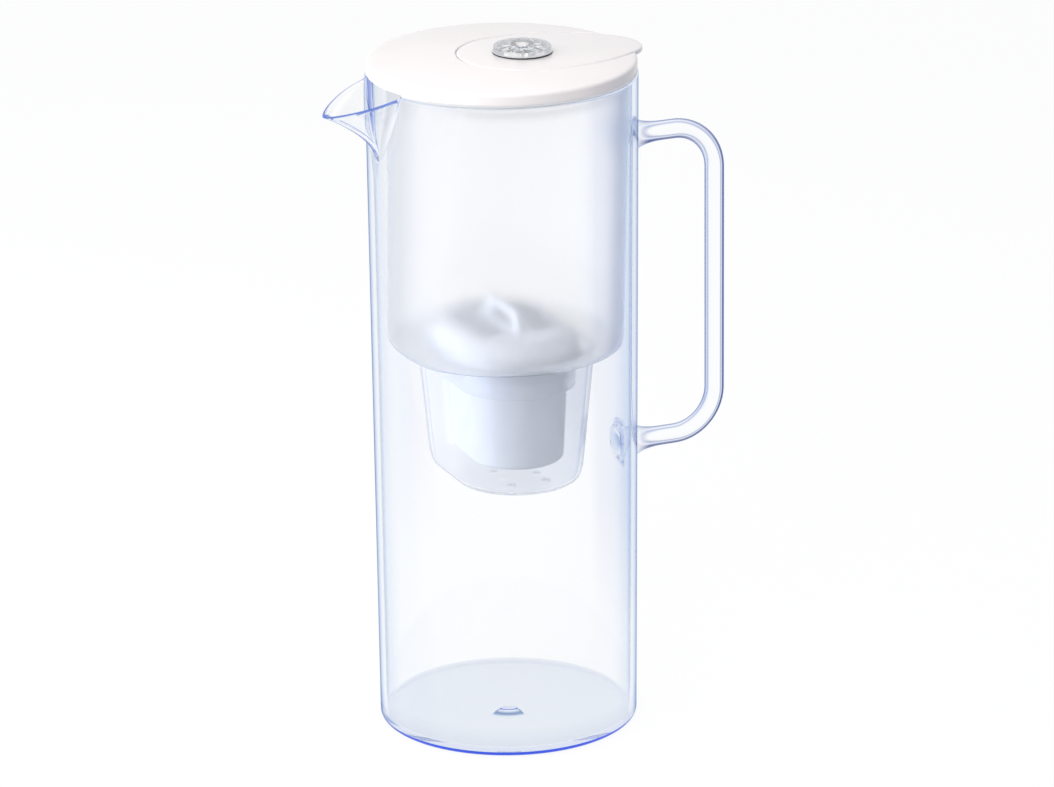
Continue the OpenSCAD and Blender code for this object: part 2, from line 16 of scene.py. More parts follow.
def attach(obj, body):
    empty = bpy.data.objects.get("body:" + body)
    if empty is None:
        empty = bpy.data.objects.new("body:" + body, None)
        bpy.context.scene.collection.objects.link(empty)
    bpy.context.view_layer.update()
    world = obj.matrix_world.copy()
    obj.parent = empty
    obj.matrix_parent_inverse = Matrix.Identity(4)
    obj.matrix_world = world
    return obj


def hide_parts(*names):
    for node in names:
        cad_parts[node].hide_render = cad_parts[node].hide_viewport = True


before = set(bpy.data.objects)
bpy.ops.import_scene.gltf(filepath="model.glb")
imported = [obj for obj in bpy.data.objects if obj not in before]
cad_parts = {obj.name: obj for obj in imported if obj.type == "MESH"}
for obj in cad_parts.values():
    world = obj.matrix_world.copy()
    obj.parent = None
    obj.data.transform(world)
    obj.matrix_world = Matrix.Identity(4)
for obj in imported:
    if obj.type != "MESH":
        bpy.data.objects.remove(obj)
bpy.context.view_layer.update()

# %% [markdown]
# ## Sizes
# A maker works in millimetres, so the shapes below are worked out in millimetres and turned into metres once,
# when a mesh is made. The values repeat the ones that the CAD source uses for the same forms, so that each
# finer surface lies on its solid. A few edges are sharper or softer than the solid's, as the photograph shows.

# %% Sizes in millimetres
MM = 0.001
RIM_R, BASE_R, JUG_H, WALL, FLOOR = 60.0, 58.0, 300.0, 2.8, 3.6
BASE_CORNER, FLOOR_CORNER, RIM_ROUND = 2.4, 1.0, 0.7
MARK_AT, MARK_HALF, MARK_H, MARK_OUT, MARK_IN = 246.5, 30.0, 1.1, 9.4, 7.2
SPOUT_REACH, SPOUT_DROP, SPOUT_DEPTH, SPOUT_HALF, SPOUT_LAP, TIP_SOFT = 26.0, 9.7, 33.0, 18.5, 1.6, 0.15
ROD_D, ROD_X, ARM_HIGH, ARM_LOW, BEND_R = 8.8, 103.3, 263.6, 120.1, 20.0
FLARE, FLARE_LEN, FLARE_CURVE, BITE, ROOT_SINK = 4.8, 19.0, 2.6, 0.6, 1.2
HOP_R1, HOP_R0, HOP_T, HOP_Z, HOP_TOP, HOP_CORNER = 56.4, 53.0, 1.8, 176.0, 301.36, 3.0
FLANGE_Z, FLANGE_R, FLAT_X, FLAT_R1, FLAT_R0, SPOUT_CLEAR = 300.1, 59.5, 75.0, 120.0, 125.0, 20.0
OVAL_A, CUP_R, CUP_H, CUP_DRAFT, CUP_CORNER = 12.2, 34.7, 60.0, 5.8, 5.0
COLLAR_R, COLLAR_T, COLLAR_LOW, SLOPE_LOW = 24.8, 1.6, 160.8, 170.4
LID_R, LID_Z, LID_H, CROWN, SKIN, SKIRT, LID_ROUND = 59.6, 301.4, 4.9, 1.6, 2.2, 1.8, 1.4
FLAP_R, DIAL_X, SIDE_R, TIP, GAP = 28.8, 10.0, 68.0, 66.3, 0.65
KNOB_R, KNOB_H, KNOB_LIFT, FACET, SHAFT_D, SHAFT_LOW = 13.0, 2.9, 0.7, 0.5, 5.0, 302.4
HUB_R, HUB_SINK, WELL_R, WELL_H, EGG_ROUND = 2.4, 0.7, 12.6, 0.9, 0.6
TICKS = 12


def glass_r(z):
    """Outer radius of the slightly conical glass at a height."""
    return BASE_R + (RIM_R - BASE_R) * (z - BASE_CORNER) / (JUG_H - 0.9 - BASE_CORNER)


def top_z(r):
    """Height of the crowned lid at a distance from its middle."""
    return LID_Z + LID_H + CROWN * (1 - (r / LID_R) ** 2)


# %% [markdown]
# ## Skins
# A blown or moulded shell is a sheet that goes once round an axis. So one helper stretches quads between rows
# of points, where each row goes once round and the rows run along the sheet from one pole to the other. Rows
# that run from the outside of the base, over the rim and down the inside give a closed wall with a real
# thickness, which is what glass needs before it can bend light as glass does.


# %% A closed skin from rows of points
def skin(name, rows, start=None, end=None, ring=False):
    """Quads between rows of points in mm. start and end are poles; ring joins the last row to the first."""
    rows = np.asarray(rows, float)
    count, around = rows.shape[:2]
    points = list(map(tuple, rows.reshape(-1, 3) * MM))
    here = np.arange(around)
    beside = (here + 1) % around
    faces = []
    for k in range(count if ring else count - 1):
        a, b = k * around, (k + 1) % count * around
        faces += zip((a + here).tolist(), (a + beside).tolist(), (b + beside).tolist(), (b + here).tolist())
    for pole, k, flip in ((start, 0, True), (end, count - 1, False)):
        if pole is not None:
            points.append(tuple(np.array(pole, float) * MM))
            tip, a = len(points) - 1, k * around
            for i, j in zip((a + here).tolist(), (a + beside).tolist()):
                faces.append((tip, j, i) if flip else (i, j, tip))
    mesh = bpy.data.meshes.new(name)
    mesh.from_pydata(points, [], faces)
    mesh.validate()
    mesh.polygons.foreach_set("use_smooth", [True] * len(mesh.polygons))
    made = bpy.data.objects.new(name, mesh)
    bpy.context.scene.collection.objects.link(made)
    return made


def circle_row(angles, r, z):
    """One row of points at radius r and height z, where each may be one number or one for each angle."""
    r, z = np.broadcast_to(r, angles.shape), np.broadcast_to(z, angles.shape)
    return np.stack([r * np.cos(angles), r * np.sin(angles), z], axis=1)


def corner(r, z, radius, start, stop, steps):
    """Points of an arc in a profile, as (radius, height) pairs. Angles are in degrees."""
    return [(r + radius * math.cos(math.radians(a)), z + radius * math.sin(math.radians(a)))
            for a in np.linspace(start, stop, steps + 1)]


# %% [markdown]
# ## Colours and shader nodes
# Colours are written as the sRGB hex values that a picture editor shows. A shader works with linear light, so
# one function turns them. Another adds a node with its settings and its links, which keeps every material short
# enough to read as a recipe.


# %% Helpers for materials
def linear(code, alpha=1.0):
    """An sRGB hex colour as linear light."""
    parts = [int(code[i:i + 2], 16) / 255 for i in (1, 3, 5)]
    return (*[c / 12.92 if c <= 0.04045 else ((c + 0.055) / 1.055) ** 2.4 for c in parts], alpha)


def add(tree, kind, feeds=None, stops=(), **settings):
    """A new node. feeds gives each input a number, a hex colour, a node (its first output) or one named output.
    stops are the (place, hex colour) pairs of a colour ramp."""
    made = tree.nodes.new(kind)
    for key, value in settings.items():
        setattr(made, key, value)
    for key, value in (feeds or {}).items():
        if isinstance(value, bpy.types.Node):
            value = value.outputs[0]
        if isinstance(value, bpy.types.NodeSocket):
            tree.links.new(value, made.inputs[key])
        else:
            is_colour = isinstance(value, str) and value.startswith("#")
            made.inputs[key].default_value = linear(value) if is_colour else value
    while stops and len(made.color_ramp.elements) < len(stops):
        made.color_ramp.elements.new(0.5)
    for k, (place, code) in enumerate(stops):
        made.color_ramp.elements[k].position, made.color_ramp.elements[k].color = place, linear(code)
    return made


def new_material(name):
    """An empty material and its node tree."""
    made = bpy.data.materials.new(name)
    made.use_nodes = True
    made.node_tree.nodes.clear()
    return made, made.node_tree


def grain(tree, size_mm, detail=3.0):
    """Noise whose grains are about size_mm across, on the piece's own coordinates."""
    where = add(tree, "ShaderNodeTexCoord").outputs["Object"]
    return add(tree, "ShaderNodeTexNoise", {"Vector": where, "Scale": 1000 / size_mm, "Detail": detail})


# %% [markdown]
# ## Glass
# The jug is blown borosilicate glass and the handle is a drawn rod of the same glass. It is clear where it is
# seen face on, and gathers a blue tint wherever light travels far inside it: along the floor, round the rim
# and at the outline of a rod. A Principled shader would give bent and mirrored light one tint, so the parts are
# mixed by hand. One shader bends light and another mirrors it, in the shares of Fresnel's law. A Layer Weight
# tints grazing light, where most of the glass is passed, with a colour ramp each for wall and rod. A darker
# ramp paints shade on the rod's outer and lower side, and mirrored light at the outline is darkened to blue-grey,
# which is a painted dark reflection. The worked edges, such as the foot and the lip, carry an attribute that
# darkens them, and the same attribute lays a faint grey painted shadow over the floor. Volume absorption takes
# some red and green from long paths. Rays from lamps pass straight through, so that what is inside is lit.


# %% Glass material
GLASS_IOR, TRAPPED_AFTER = 1.47, 20.0
WHITE = "#FFFFFF"


def make_glass(name, wall_stops, rod_stops, rod_painted_shade_stops, edge_tint_and_floor_shade_stops, tint, density):
    """Clear glass with a tint that grows at grazing angles, along worked edges and over long paths, with painted
    shade on the rod's outer side, on the floor and in the mirrored light at the outline.
    """
    made, tree = new_material(name)
    facing = add(tree, "ShaderNodeLayerWeight", {"Blend": 0.5}).outputs["Facing"]
    on_rod = add(tree, "ShaderNodeAttribute", attribute_name="rod").outputs["Fac"]
    worked = add(tree, "ShaderNodeAttribute", attribute_name="worked_edge_and_floor_shade").outputs["Fac"]
    leaving = add(tree, "ShaderNodeNewGeometry").outputs["Backfacing"]
    # The rod's outer and lower side takes the darker ramp: painted shade
    shade = add(tree, "ShaderNodeAttribute", attribute_name="rod_painted_shade").outputs["Fac"]
    wall, light, dark, edges = [add(tree, "ShaderNodeValToRGB", {"Fac": factor}, stops) for factor, stops in (
        (facing, wall_stops), (facing, rod_stops), (facing, rod_painted_shade_stops), (worked, edge_tint_and_floor_shade_stops))]
    rod = add(tree, "ShaderNodeMixRGB", {"Fac": shade, "Color1": light, "Color2": dark})
    body = add(tree, "ShaderNodeMixRGB", {"Fac": on_rod, "Color1": wall, "Color2": rod})
    # The edge's tint counts once, where light goes in
    edge = add(tree, "ShaderNodeMixRGB", {"Fac": leaving, "Color1": edges, "Color2": WHITE})
    colour = add(tree, "ShaderNodeMixRGB", {"Fac": 1.0, "Color1": body, "Color2": edge}, blend_type="MULTIPLY")
    bends = add(tree, "ShaderNodeBsdfRefraction", {"Color": colour, "Roughness": 0.0, "IOR": GLASS_IOR})
    # Mirrored light on near faces turns blue-grey at the outline: a painted dark reflection
    rim = add(tree, "ShaderNodeValToRGB", {"Fac": facing}, [
        (0.0, WHITE), (0.78, WHITE), (0.9, "#A4B6D8"), (1.0, "#7C92BE")])
    seen = add(tree, "ShaderNodeMixRGB", {"Fac": leaving, "Color1": rim, "Color2": WHITE})
    mirrors = add(tree, "ShaderNodeBsdfAnisotropic", {"Color": seen, "Roughness": 0.0})
    share = add(tree, "ShaderNodeFresnel", {"IOR": GLASS_IOR})
    glass = add(tree, "ShaderNodeMixShader", {0: share, 1: bends, 2: mirrors})
    # Lamp light passes straight. So does light that is trapped inside the wall, which would otherwise end in black
    path = add(tree, "ShaderNodeLightPath")
    trapped = add(tree, "ShaderNodeMath", {0: path.outputs["Ray Depth"], 1: TRAPPED_AFTER}, operation="GREATER_THAN")
    straight = add(tree, "ShaderNodeMath", {0: path.outputs["Is Shadow Ray"], 1: trapped}, operation="MAXIMUM")
    through = add(tree, "ShaderNodeBsdfTransparent", {"Color": "#FCFDFF"})
    both = add(tree, "ShaderNodeMixShader", {0: straight, 1: glass, 2: through})
    depth = add(tree, "ShaderNodeVolumeAbsorption", {"Color": tint, "Density": density})
    add(tree, "ShaderNodeOutputMaterial", {"Surface": both, "Volume": depth})
    return made


borosilicate = make_glass(
    "blown_borosilicate_glass",
    wall_stops=[(0.0, WHITE), (0.52, "#FDFEFF"), (0.66, "#F4F7FB"), (0.76, "#ECF2FA"), (0.86, "#BED2EA"),
                (0.95, "#7E98C4"), (1.0, "#6C84B4")],
    rod_stops=[(0.0, WHITE), (0.2, "#FDFEFF"), (0.29, "#B8C4E4"), (0.38, "#EEF2FB"), (0.5, "#F4F7FD"),
               (0.62, "#98A8D6"), (0.8, "#8094CC"), (1.0, "#7088C8")],
    # These darker stops paint shade on the rod's outer and lower side
    rod_painted_shade_stops=[(0.0, WHITE), (0.2, "#FDFEFF"), (0.28, "#A8B0CC"), (0.36, "#EEF2FB"), (0.45, "#5064A8"),
                (0.56, "#16245E"), (0.7, "#3C54A0"), (0.85, "#A4C0F8"), (1.0, "#84AAF4")],
    # The grey at 0.15 paints a faint shadow over the floor
    edge_tint_and_floor_shade_stops=[(0.0, WHITE), (0.15, "#F0F3F7"), (0.3, "#F4F7FD"), (0.5, "#86A2E8"), (1.0, "#2A5AF2")],
    tint="#6C94E8", density=2.0)


# %% [markdown]
# ## Plastics
# The hopper and its cup are frosted, injection moulded SAN plastic. Light passes but scatters, so the
# cartridge behind shows only as a soft shadow. A rough shader that bends light gives that blur, and a small
# share of matt and translucent skin, the haze, gives the milky body. Its IOR is lower than real SAN's 1.57,
# because two bent skins in front of each other would hide the cartridge. The lid's liner and seal are thin and
# near clear, so they need no bending at all. The lid is glossy white ABS whose mould polish leaves a very
# faint orange peel, and the cartridge is polypropylene with a satin skin. Both are Principled shaders.


# %% Plastic materials
SAN_IOR = 1.2


def make_frosted(name, roughness, haze, tint, body=WHITE):
    """Translucent moulded plastic. haze is the share of light that each of its skins scatters."""
    made, tree = new_material(name)
    rough = add(tree, "ShaderNodeMapRange", {
        "Value": grain(tree, 1.5), "To Min": roughness * 0.85, "To Max": roughness * 1.15}).outputs["Result"]
    bump = add(tree, "ShaderNodeBump", {"Height": grain(tree, 0.6), "Strength": 0.08, "Distance": 0.0002})
    facing = add(tree, "ShaderNodeLayerWeight", {"Blend": 0.5}).outputs["Facing"]
    edge = add(tree, "ShaderNodeValToRGB", {"Fac": facing}, [(0.0, body), (0.72, body), (0.95, tint)])
    bends = add(tree, "ShaderNodeBsdfRefraction", {
        "Color": edge, "Roughness": rough, "IOR": SAN_IOR, "Normal": bump})
    mirrors = add(tree, "ShaderNodeBsdfAnisotropic", {"Color": WHITE, "Roughness": 0.05, "Normal": bump})
    share = add(tree, "ShaderNodeFresnel", {"IOR": SAN_IOR, "Normal": bump}).outputs["Fac"]
    clear = add(tree, "ShaderNodeMixShader", {0: share, 1: bends, 2: mirrors})
    back = add(tree, "ShaderNodeBsdfDiffuse", {"Color": "#FDFEFF", "Normal": bump})
    onward = add(tree, "ShaderNodeBsdfTranslucent", {"Color": "#FDFEFF", "Normal": bump})
    scatters = add(tree, "ShaderNodeMixShader", {0: 0.5, 1: back, 2: onward})
    main = add(tree, "ShaderNodeMixShader", {0: haze, 1: clear, 2: scatters})
    lamp_ray = add(tree, "ShaderNodeLightPath").outputs["Is Shadow Ray"]
    through = add(tree, "ShaderNodeBsdfTransparent", {"Color": "#F8FAFF"})
    both = add(tree, "ShaderNodeMixShader", {0: lamp_ray, 1: main, 2: through})
    add(tree, "ShaderNodeOutputMaterial", {"Surface": both})
    return made


def make_film(name, haze, tint):
    """Thin clear plastic that light passes without bending. haze is the share that it scatters."""
    made, tree = new_material(name)
    facing = add(tree, "ShaderNodeLayerWeight", {"Blend": 0.5}).outputs["Facing"]
    skin_tint = add(tree, "ShaderNodeValToRGB", {"Fac": facing}, [(0.6, WHITE), (1.0, tint)])
    through = add(tree, "ShaderNodeBsdfTransparent", {"Color": skin_tint})
    cloudy = add(tree, "ShaderNodeMapRange", {
        "Value": grain(tree, 2.0), "To Min": haze * 0.8, "To Max": haze * 1.2}).outputs["Result"]
    back = add(tree, "ShaderNodeBsdfDiffuse", {"Color": "#FDFEFF"})
    onward = add(tree, "ShaderNodeBsdfTranslucent", {"Color": "#FDFEFF"})
    scatters = add(tree, "ShaderNodeMixShader", {0: 0.5, 1: back, 2: onward})
    main = add(tree, "ShaderNodeMixShader", {0: cloudy, 1: through, 2: scatters})
    add(tree, "ShaderNodeOutputMaterial", {"Surface": main})
    return made


def make_plastic(name, body, shade, roughness, grain_mm, bump_strength, **extra):
    """Moulded plastic, with a faint change of colour and polish over its skin."""
    made, tree = new_material(name)
    colour = add(tree, "ShaderNodeValToRGB", {"Fac": grain(tree, grain_mm * 8)}, [(0.3, body), (0.7, shade)])
    rough = add(tree, "ShaderNodeMapRange", {
        "Value": grain(tree, grain_mm), "To Min": roughness * 0.9, "To Max": roughness * 1.1}).outputs["Result"]
    bump = add(tree, "ShaderNodeBump", {
        "Height": grain(tree, grain_mm), "Strength": bump_strength, "Distance": 0.0002})
    main = add(tree, "ShaderNodeBsdfPrincipled", {
        "Base Color": colour, "Roughness": rough, "Normal": bump, "IOR": 1.5, **extra})
    add(tree, "ShaderNodeOutputMaterial", {"Surface": main})
    return made


frosted = make_frosted("frosted_moulded_SAN", 0.33, 0.05, "#DCE6F4")
# A copy of the same plastic with a greyer body for the hopper's lower outer corner: a painted shade line
edge_painted_shade_frost = make_frosted("frosted_moulded_SAN_painted_shade_edge", 0.15, 0.05, "#9CA8C8", "#D4DCEA")
flange_frost = make_frosted("frosted_moulded_SAN_flange", 0.3, 0.97, "#F4F6FA")
milky_liner = make_film("clear_moulded_polypropylene", 0.1, "#FAFCFF")
clear_silicone = make_film("clear_moulded_silicone", 0.12, "#F8FAFF")
cup_frost = make_frosted("frosted_moulded_SAN_cup", 0.13, 0.08, "#94A4CA", "#FBFCFE")
white_abs = make_plastic("polished_white_ABS", "#F8F5F6", "#F5F1F2", 0.22, 4.0, 0.015)
inner_abs = make_plastic("moulded_white_ABS_inside", "#EFEEF0", "#EAE9EC", 0.42, 2.0, 0.03)
polypropylene = make_plastic("satin_polypropylene", "#F2F5F9", "#ECF0F5", 0.45, 1.2, 0.06)
cap_plastic = make_plastic("satin_polypropylene_cap", "#F3F6FA", "#EEF1F6", 0.45, 1.2, 0.06)
silicone = make_plastic("moulded_silicone", "#DADCE2", "#D4D6DD", 0.6, 0.8, 0.08)
hub_pink = make_plastic("pad_printed_pale_pink_ABS", "#F3F0F0", "#EFEAEA", 0.3, 2.0, 0.02)
tick_grey = make_plastic("printed_grey_ink", "#54585F", "#484C54", 0.5, 0.5, 0.02)


# %% [markdown]
# ## Filter media and steel
# The cartridge's inside is seen only when it is cut open or looked at from above, through the cap's slots.
# Activated carbon is a bed of black grains about 1 mm across and ion exchange resin a bed of amber beads, so
# both get a Voronoi pattern at those sizes. The screens are a woven mesh. Springs and pins are rolled
# stainless steel.


# %% Media and metal materials
def make_grains(name, dark, light, grain_mm, roughness):
    """A bed of grains, one Voronoi cell for each grain."""
    made, tree = new_material(name)
    where = add(tree, "ShaderNodeTexCoord").outputs["Object"]
    cells = add(tree, "ShaderNodeTexVoronoi", {"Vector": where, "Scale": 1000 / grain_mm})
    pick = add(tree, "ShaderNodeSeparateColor", {"Color": cells.outputs["Color"]})
    bump = add(tree, "ShaderNodeBump", {
        "Height": cells.outputs["Distance"], "Strength": 0.8, "Distance": grain_mm * MM / 2}, invert=True)
    colour = add(tree, "ShaderNodeValToRGB", {"Fac": pick}, [(0.0, dark), (1.0, light)])
    main = add(tree, "ShaderNodeBsdfPrincipled", {"Base Color": colour, "Roughness": roughness, "Normal": bump})
    add(tree, "ShaderNodeOutputMaterial", {"Surface": main})
    return made


def make_mesh_cloth(name, thread, gap, pitch_mm):
    """Woven screen: two sets of threads at right angles, drawn as waves."""
    made, tree = new_material(name)
    where = add(tree, "ShaderNodeTexCoord").outputs["Object"]
    waves = [add(tree, "ShaderNodeTexWave", {"Vector": where, "Scale": 1000 / pitch_mm / 20}, bands_direction=d)
             for d in ("X", "Y")]
    weave = add(tree, "ShaderNodeMath", {0: waves[0].outputs["Fac"], 1: waves[1].outputs["Fac"]},
                operation="MAXIMUM")
    bump = add(tree, "ShaderNodeBump", {"Height": weave, "Strength": 0.5, "Distance": 0.0002})
    colour = add(tree, "ShaderNodeValToRGB", {"Fac": weave}, [(0.2, gap), (0.7, thread)])
    main = add(tree, "ShaderNodeBsdfPrincipled", {"Base Color": colour, "Roughness": 0.8, "Normal": bump})
    add(tree, "ShaderNodeOutputMaterial", {"Surface": main})
    return made


def make_steel(name):
    """Rolled stainless steel with a fine grain along it."""
    made, tree = new_material(name)
    where = add(tree, "ShaderNodeTexCoord").outputs["Object"]
    drawn = add(tree, "ShaderNodeMapping", {"Vector": where, "Scale": (200.0, 4000.0, 4000.0)})
    lines = add(tree, "ShaderNodeTexNoise", {"Vector": drawn, "Scale": 1.0, "Detail": 2.0}).outputs["Fac"]
    rough = add(tree, "ShaderNodeMapRange", {"Value": lines, "To Min": 0.22, "To Max": 0.36}).outputs["Result"]
    colour = add(tree, "ShaderNodeValToRGB", {"Fac": lines}, [(0.3, "#BFC1C6"), (0.7, "#CFD1D5")])
    main = add(tree, "ShaderNodeBsdfPrincipled", {"Base Color": colour, "Roughness": rough, "Metallic": 1.0})
    add(tree, "ShaderNodeOutputMaterial", {"Surface": main})
    return made


carbon = make_grains("activated_carbon_grains", "#111114", "#2B2B30", 1.0, 0.75)
resin = make_grains("ion_exchange_resin_beads", "#8F6A3C", "#C79A5E", 0.7, 0.35)
screen_cloth = make_mesh_cloth("woven_polyester_screen", "#EDEEF0", "#9CA0A8", 0.6)
steel = make_steel("rolled_stainless_steel")

# %% [markdown]
# ## Jug
# The jug is a blown cylinder whose spout was pulled out of the hot rim with a tool: the wall folds outwards
# along a curved line and the lip runs down to a rounded tip. A boolean would leave a hard seam there. Here
# the rows above the fold line are instead pushed outwards by a rule, so wall and spout are one sheet of glass.
# The columns stand closer together across the spout than elsewhere. Inside, the floor keeps a short arc-shaped
# dent of the mould.


# %% The jug's wall and spout
def soft(t):
    """0 at the middle of the spout and 1 at its sides, rounded at the middle."""
    base = math.sqrt(1 + TIP_SOFT ** 2) - TIP_SOFT
    return (np.sqrt(t * t + TIP_SOFT ** 2) - TIP_SOFT) / base


def fold_z(t):
    """Height of the line where the wall starts to lean out."""
    return JUG_H - SPOUT_DEPTH * (1 - np.abs(t) ** 1.43)


def lip_z(t):
    """Height of the lip, lowest at the spout's tip."""
    return JUG_H - SPOUT_DROP * np.maximum(0, 1 - soft(t)) ** 0.8


def lip_out(t):
    """How far the lip stands out past the round rim."""
    return SPOUT_REACH * np.maximum(0, 1 - soft(t)) ** 0.7


across = np.sin(np.linspace(-math.pi / 2, math.pi / 2, 73))
across = across * 0.7 + np.linspace(-1, 1, 73) * 0.3
beside_spout = np.linspace(180 + SPOUT_HALF, 540 - SPOUT_HALF, 182)[1:-1]
jug_angles = np.radians(np.concatenate([180 + across * SPOUT_HALF, beside_spout]))
jug_t = np.concatenate([across, np.ones(len(beside_spout))])


def jug_sheet(inward):
    """Rows of the wall from the base's corner to just under the lip, outside or inside."""
    low = BASE_CORNER if not inward else FLOOR + FLOOR_CORNER
    bottom_of_patch = fold_z(jug_t) - SPOUT_LAP
    top = lip_z(jug_t) - RIM_ROUND
    inset = WALL if inward else 0.0
    rows = []
    for s in np.linspace(0, 1, 26)[:-1]:
        z = low + (bottom_of_patch - low) * s
        rows.append(circle_row(jug_angles, glass_r(z) - inset, z))
    for s in np.linspace(0, 1, 25):
        z = bottom_of_patch + (top - bottom_of_patch) * s
        w = (z - bottom_of_patch) / (lip_z(jug_t) - bottom_of_patch)
        rows.append(circle_row(jug_angles, glass_r(z) + lip_out(jug_t) * w ** 2 - inset, z))
    return rows


def make_jug():
    """The whole jug as one skin, from the middle of its base round the lip to the middle of its floor."""
    rows = [circle_row(jug_angles, r, 0) for r in (12, 30, 50)]
    rows += [circle_row(jug_angles, r, z)
             for r, z in corner(BASE_R - BASE_CORNER, BASE_CORNER, BASE_CORNER, -90, 0, 10)[:-1]]
    outside, inside = jug_sheet(False), jug_sheet(True)
    rows += outside
    for a in np.radians(np.linspace(0, 180, 11))[1:-1]:
        middle, half = (outside[-1] + inside[-1]) / 2, (outside[-1] - inside[-1]) / 2
        over = middle + half * math.cos(a)
        over[:, 2] += RIM_ROUND * math.sin(a)
        rows.append(over)
    rows += inside[::-1]
    inner_r = float(glass_r(FLOOR + FLOOR_CORNER)) - WALL - FLOOR_CORNER
    rows += [circle_row(jug_angles, r, z)
             for r, z in corner(inner_r, FLOOR + FLOOR_CORNER, FLOOR_CORNER, 0, -90, 8)[1:]]
    # The dent fades over five degrees at its ends
    turn = np.abs((np.degrees(jug_angles) - MARK_AT + 180) % 360 - 180)
    mark = np.clip((MARK_HALF - turn) / 5, 0, 1)
    rows += [circle_row(jug_angles, r, FLOOR - mark * depth) for r, depth in (
        (40, 0), (20, 0), (MARK_OUT + 0.2, 0), (MARK_OUT, MARK_H), (MARK_IN, MARK_H), (MARK_IN - 0.2, 0), (4, 0))]
    return skin("jug_blown_glass", rows, start=(0, 0, 0), end=(0, 0, FLOOR))


jug = make_jug()
jug.data.materials.append(borosilicate)
print("jug faces:", len(jug.data.polygons))

# %% [markdown]
# ## Handle
# The handle is a glass rod that was bent hot and pressed on to the wall, where it spread into a flare. It
# follows a path, so Geometry Nodes sweep a circle along that path. The path's points carry their own radius in
# an attribute called girth, so the same sweep also draws the flares. Rod and wall are one glass, and light
# would bend at a border between them, so an exact union makes them one body.


# %% Geometry Nodes helper and the sweep
def new_tree(name, sizes):
    """A Geometry Nodes tree with a geometry input and named inputs. sizes maps names to (socket type, default)."""
    tree = bpy.data.node_groups.new(name, "GeometryNodeTree")
    tree.interface.new_socket("Geometry", in_out="INPUT", socket_type="NodeSocketGeometry")
    for label, (kind, value) in sizes.items():
        socket = tree.interface.new_socket(label, in_out="INPUT", socket_type=kind)
        if value is not None:
            socket.default_value = value
    tree.interface.new_socket("Geometry", in_out="OUTPUT", socket_type="NodeSocketGeometry")
    return tree, tree.nodes.new("NodeGroupInput")


def grow(carrier, tree, values):
    """Runs a tree on a carrier object and returns the plain mesh that it makes."""
    modifier = carrier.modifiers.new(tree.name, "NODES")
    modifier.node_group = tree
    for item in tree.interface.items_tree:
        if item.item_type == "SOCKET" and item.in_out == "INPUT" and item.name in values:
            modifier[item.identifier] = values[item.name]
    bpy.context.view_layer.update()
    made = bpy.data.meshes.new_from_object(carrier.evaluated_get(bpy.context.evaluated_depsgraph_get()))
    carrier.modifiers.remove(modifier)
    return made


def sweep_tree():
    tree, given = new_tree("sweep_round_rod", {
        "Sides": ("NodeSocketInt", 48), "Material": ("NodeSocketMaterial", None)})
    line = add(tree, "GeometryNodeMeshToCurve", {"Mesh": given.outputs["Geometry"]})
    girth = add(tree, "GeometryNodeInputNamedAttribute", {"Name": "girth"}, data_type="FLOAT")
    ring = add(tree, "GeometryNodeCurvePrimitiveCircle", {"Resolution": given.outputs["Sides"], "Radius": 1.0})
    tube = add(tree, "GeometryNodeCurveToMesh", {
        "Curve": line, "Profile Curve": ring, "Fill Caps": True,
        "Scale": girth.outputs["Attribute"]})
    smooth = add(tree, "GeometryNodeSetShadeSmooth", {"Geometry": tube})
    real = add(tree, "GeometryNodeRealizeInstances", {"Geometry": smooth})
    painted = add(tree, "GeometryNodeSetMaterial", {
        "Geometry": real, "Material": given.outputs["Material"]})
    add(tree, "NodeGroupOutput", {0: painted})
    return tree


# %% The handle's path and its flares
def rod_path():
    """Points of the rod's middle line, from the upper root round to the lower root, with a radius at each."""
    def arm(z):
        start = float(glass_r(z)) - BITE
        steps = np.concatenate([
            np.linspace(0, FLARE_LEN + 2, 26), np.linspace(FLARE_LEN + 4, ROD_X - BEND_R - start, 8)])
        spread = np.clip(1 - (steps - BITE) / FLARE_LEN, 0, 1)
        return [(start + s, z, ROD_D / 2 + FLARE * w ** FLARE_CURVE) for s, w in zip(steps, spread)]

    def bend(z, start, stop):
        return [(x, y, ROD_D / 2) for x, y in corner(ROD_X - BEND_R, z, BEND_R, start, stop, 20)[1:-1]]

    down = [(ROD_X, z, ROD_D / 2) for z in np.linspace(ARM_HIGH - BEND_R, ARM_LOW + BEND_R, 24)]
    upper = arm(ARM_HIGH) + bend(ARM_HIGH - BEND_R, 90, 0)
    return upper + down + bend(ARM_LOW + BEND_R, 0, -90) + arm(ARM_LOW)[::-1]


def make_handle():
    """The swept rod, its two ends shaped to the jug's wall."""
    path = rod_path()
    line = bpy.data.meshes.new("handle_line")
    line.from_pydata([(x * MM, 0, z * MM) for x, z, _ in path], [(i, i + 1) for i in range(len(path) - 1)], [])
    line.attributes.new("girth", "FLOAT", "POINT").data.foreach_set("value", [g * MM for _, _, g in path])
    carrier = bpy.data.objects.new("handle_carrier", line)
    bpy.context.scene.collection.objects.link(carrier)
    mesh = grow(carrier, sweep_tree(), {"Sides": 56, "Material": borosilicate})
    bpy.data.objects.remove(carrier)
    made = bpy.data.objects.new("handle_glass_rod", mesh)
    bpy.context.scene.collection.objects.link(made)
    # The roots run a little way into the wall
    for v in mesh.vertices:
        wall = glass_r(v.co.z / MM) - ROOT_SINK
        x, y = v.co.x / MM, v.co.y / MM
        if x < RIM_R + 1 and math.hypot(x, y) < wall + 0.3:
            v.co.x = math.sqrt(wall ** 2 - y ** 2) * MM
    return made


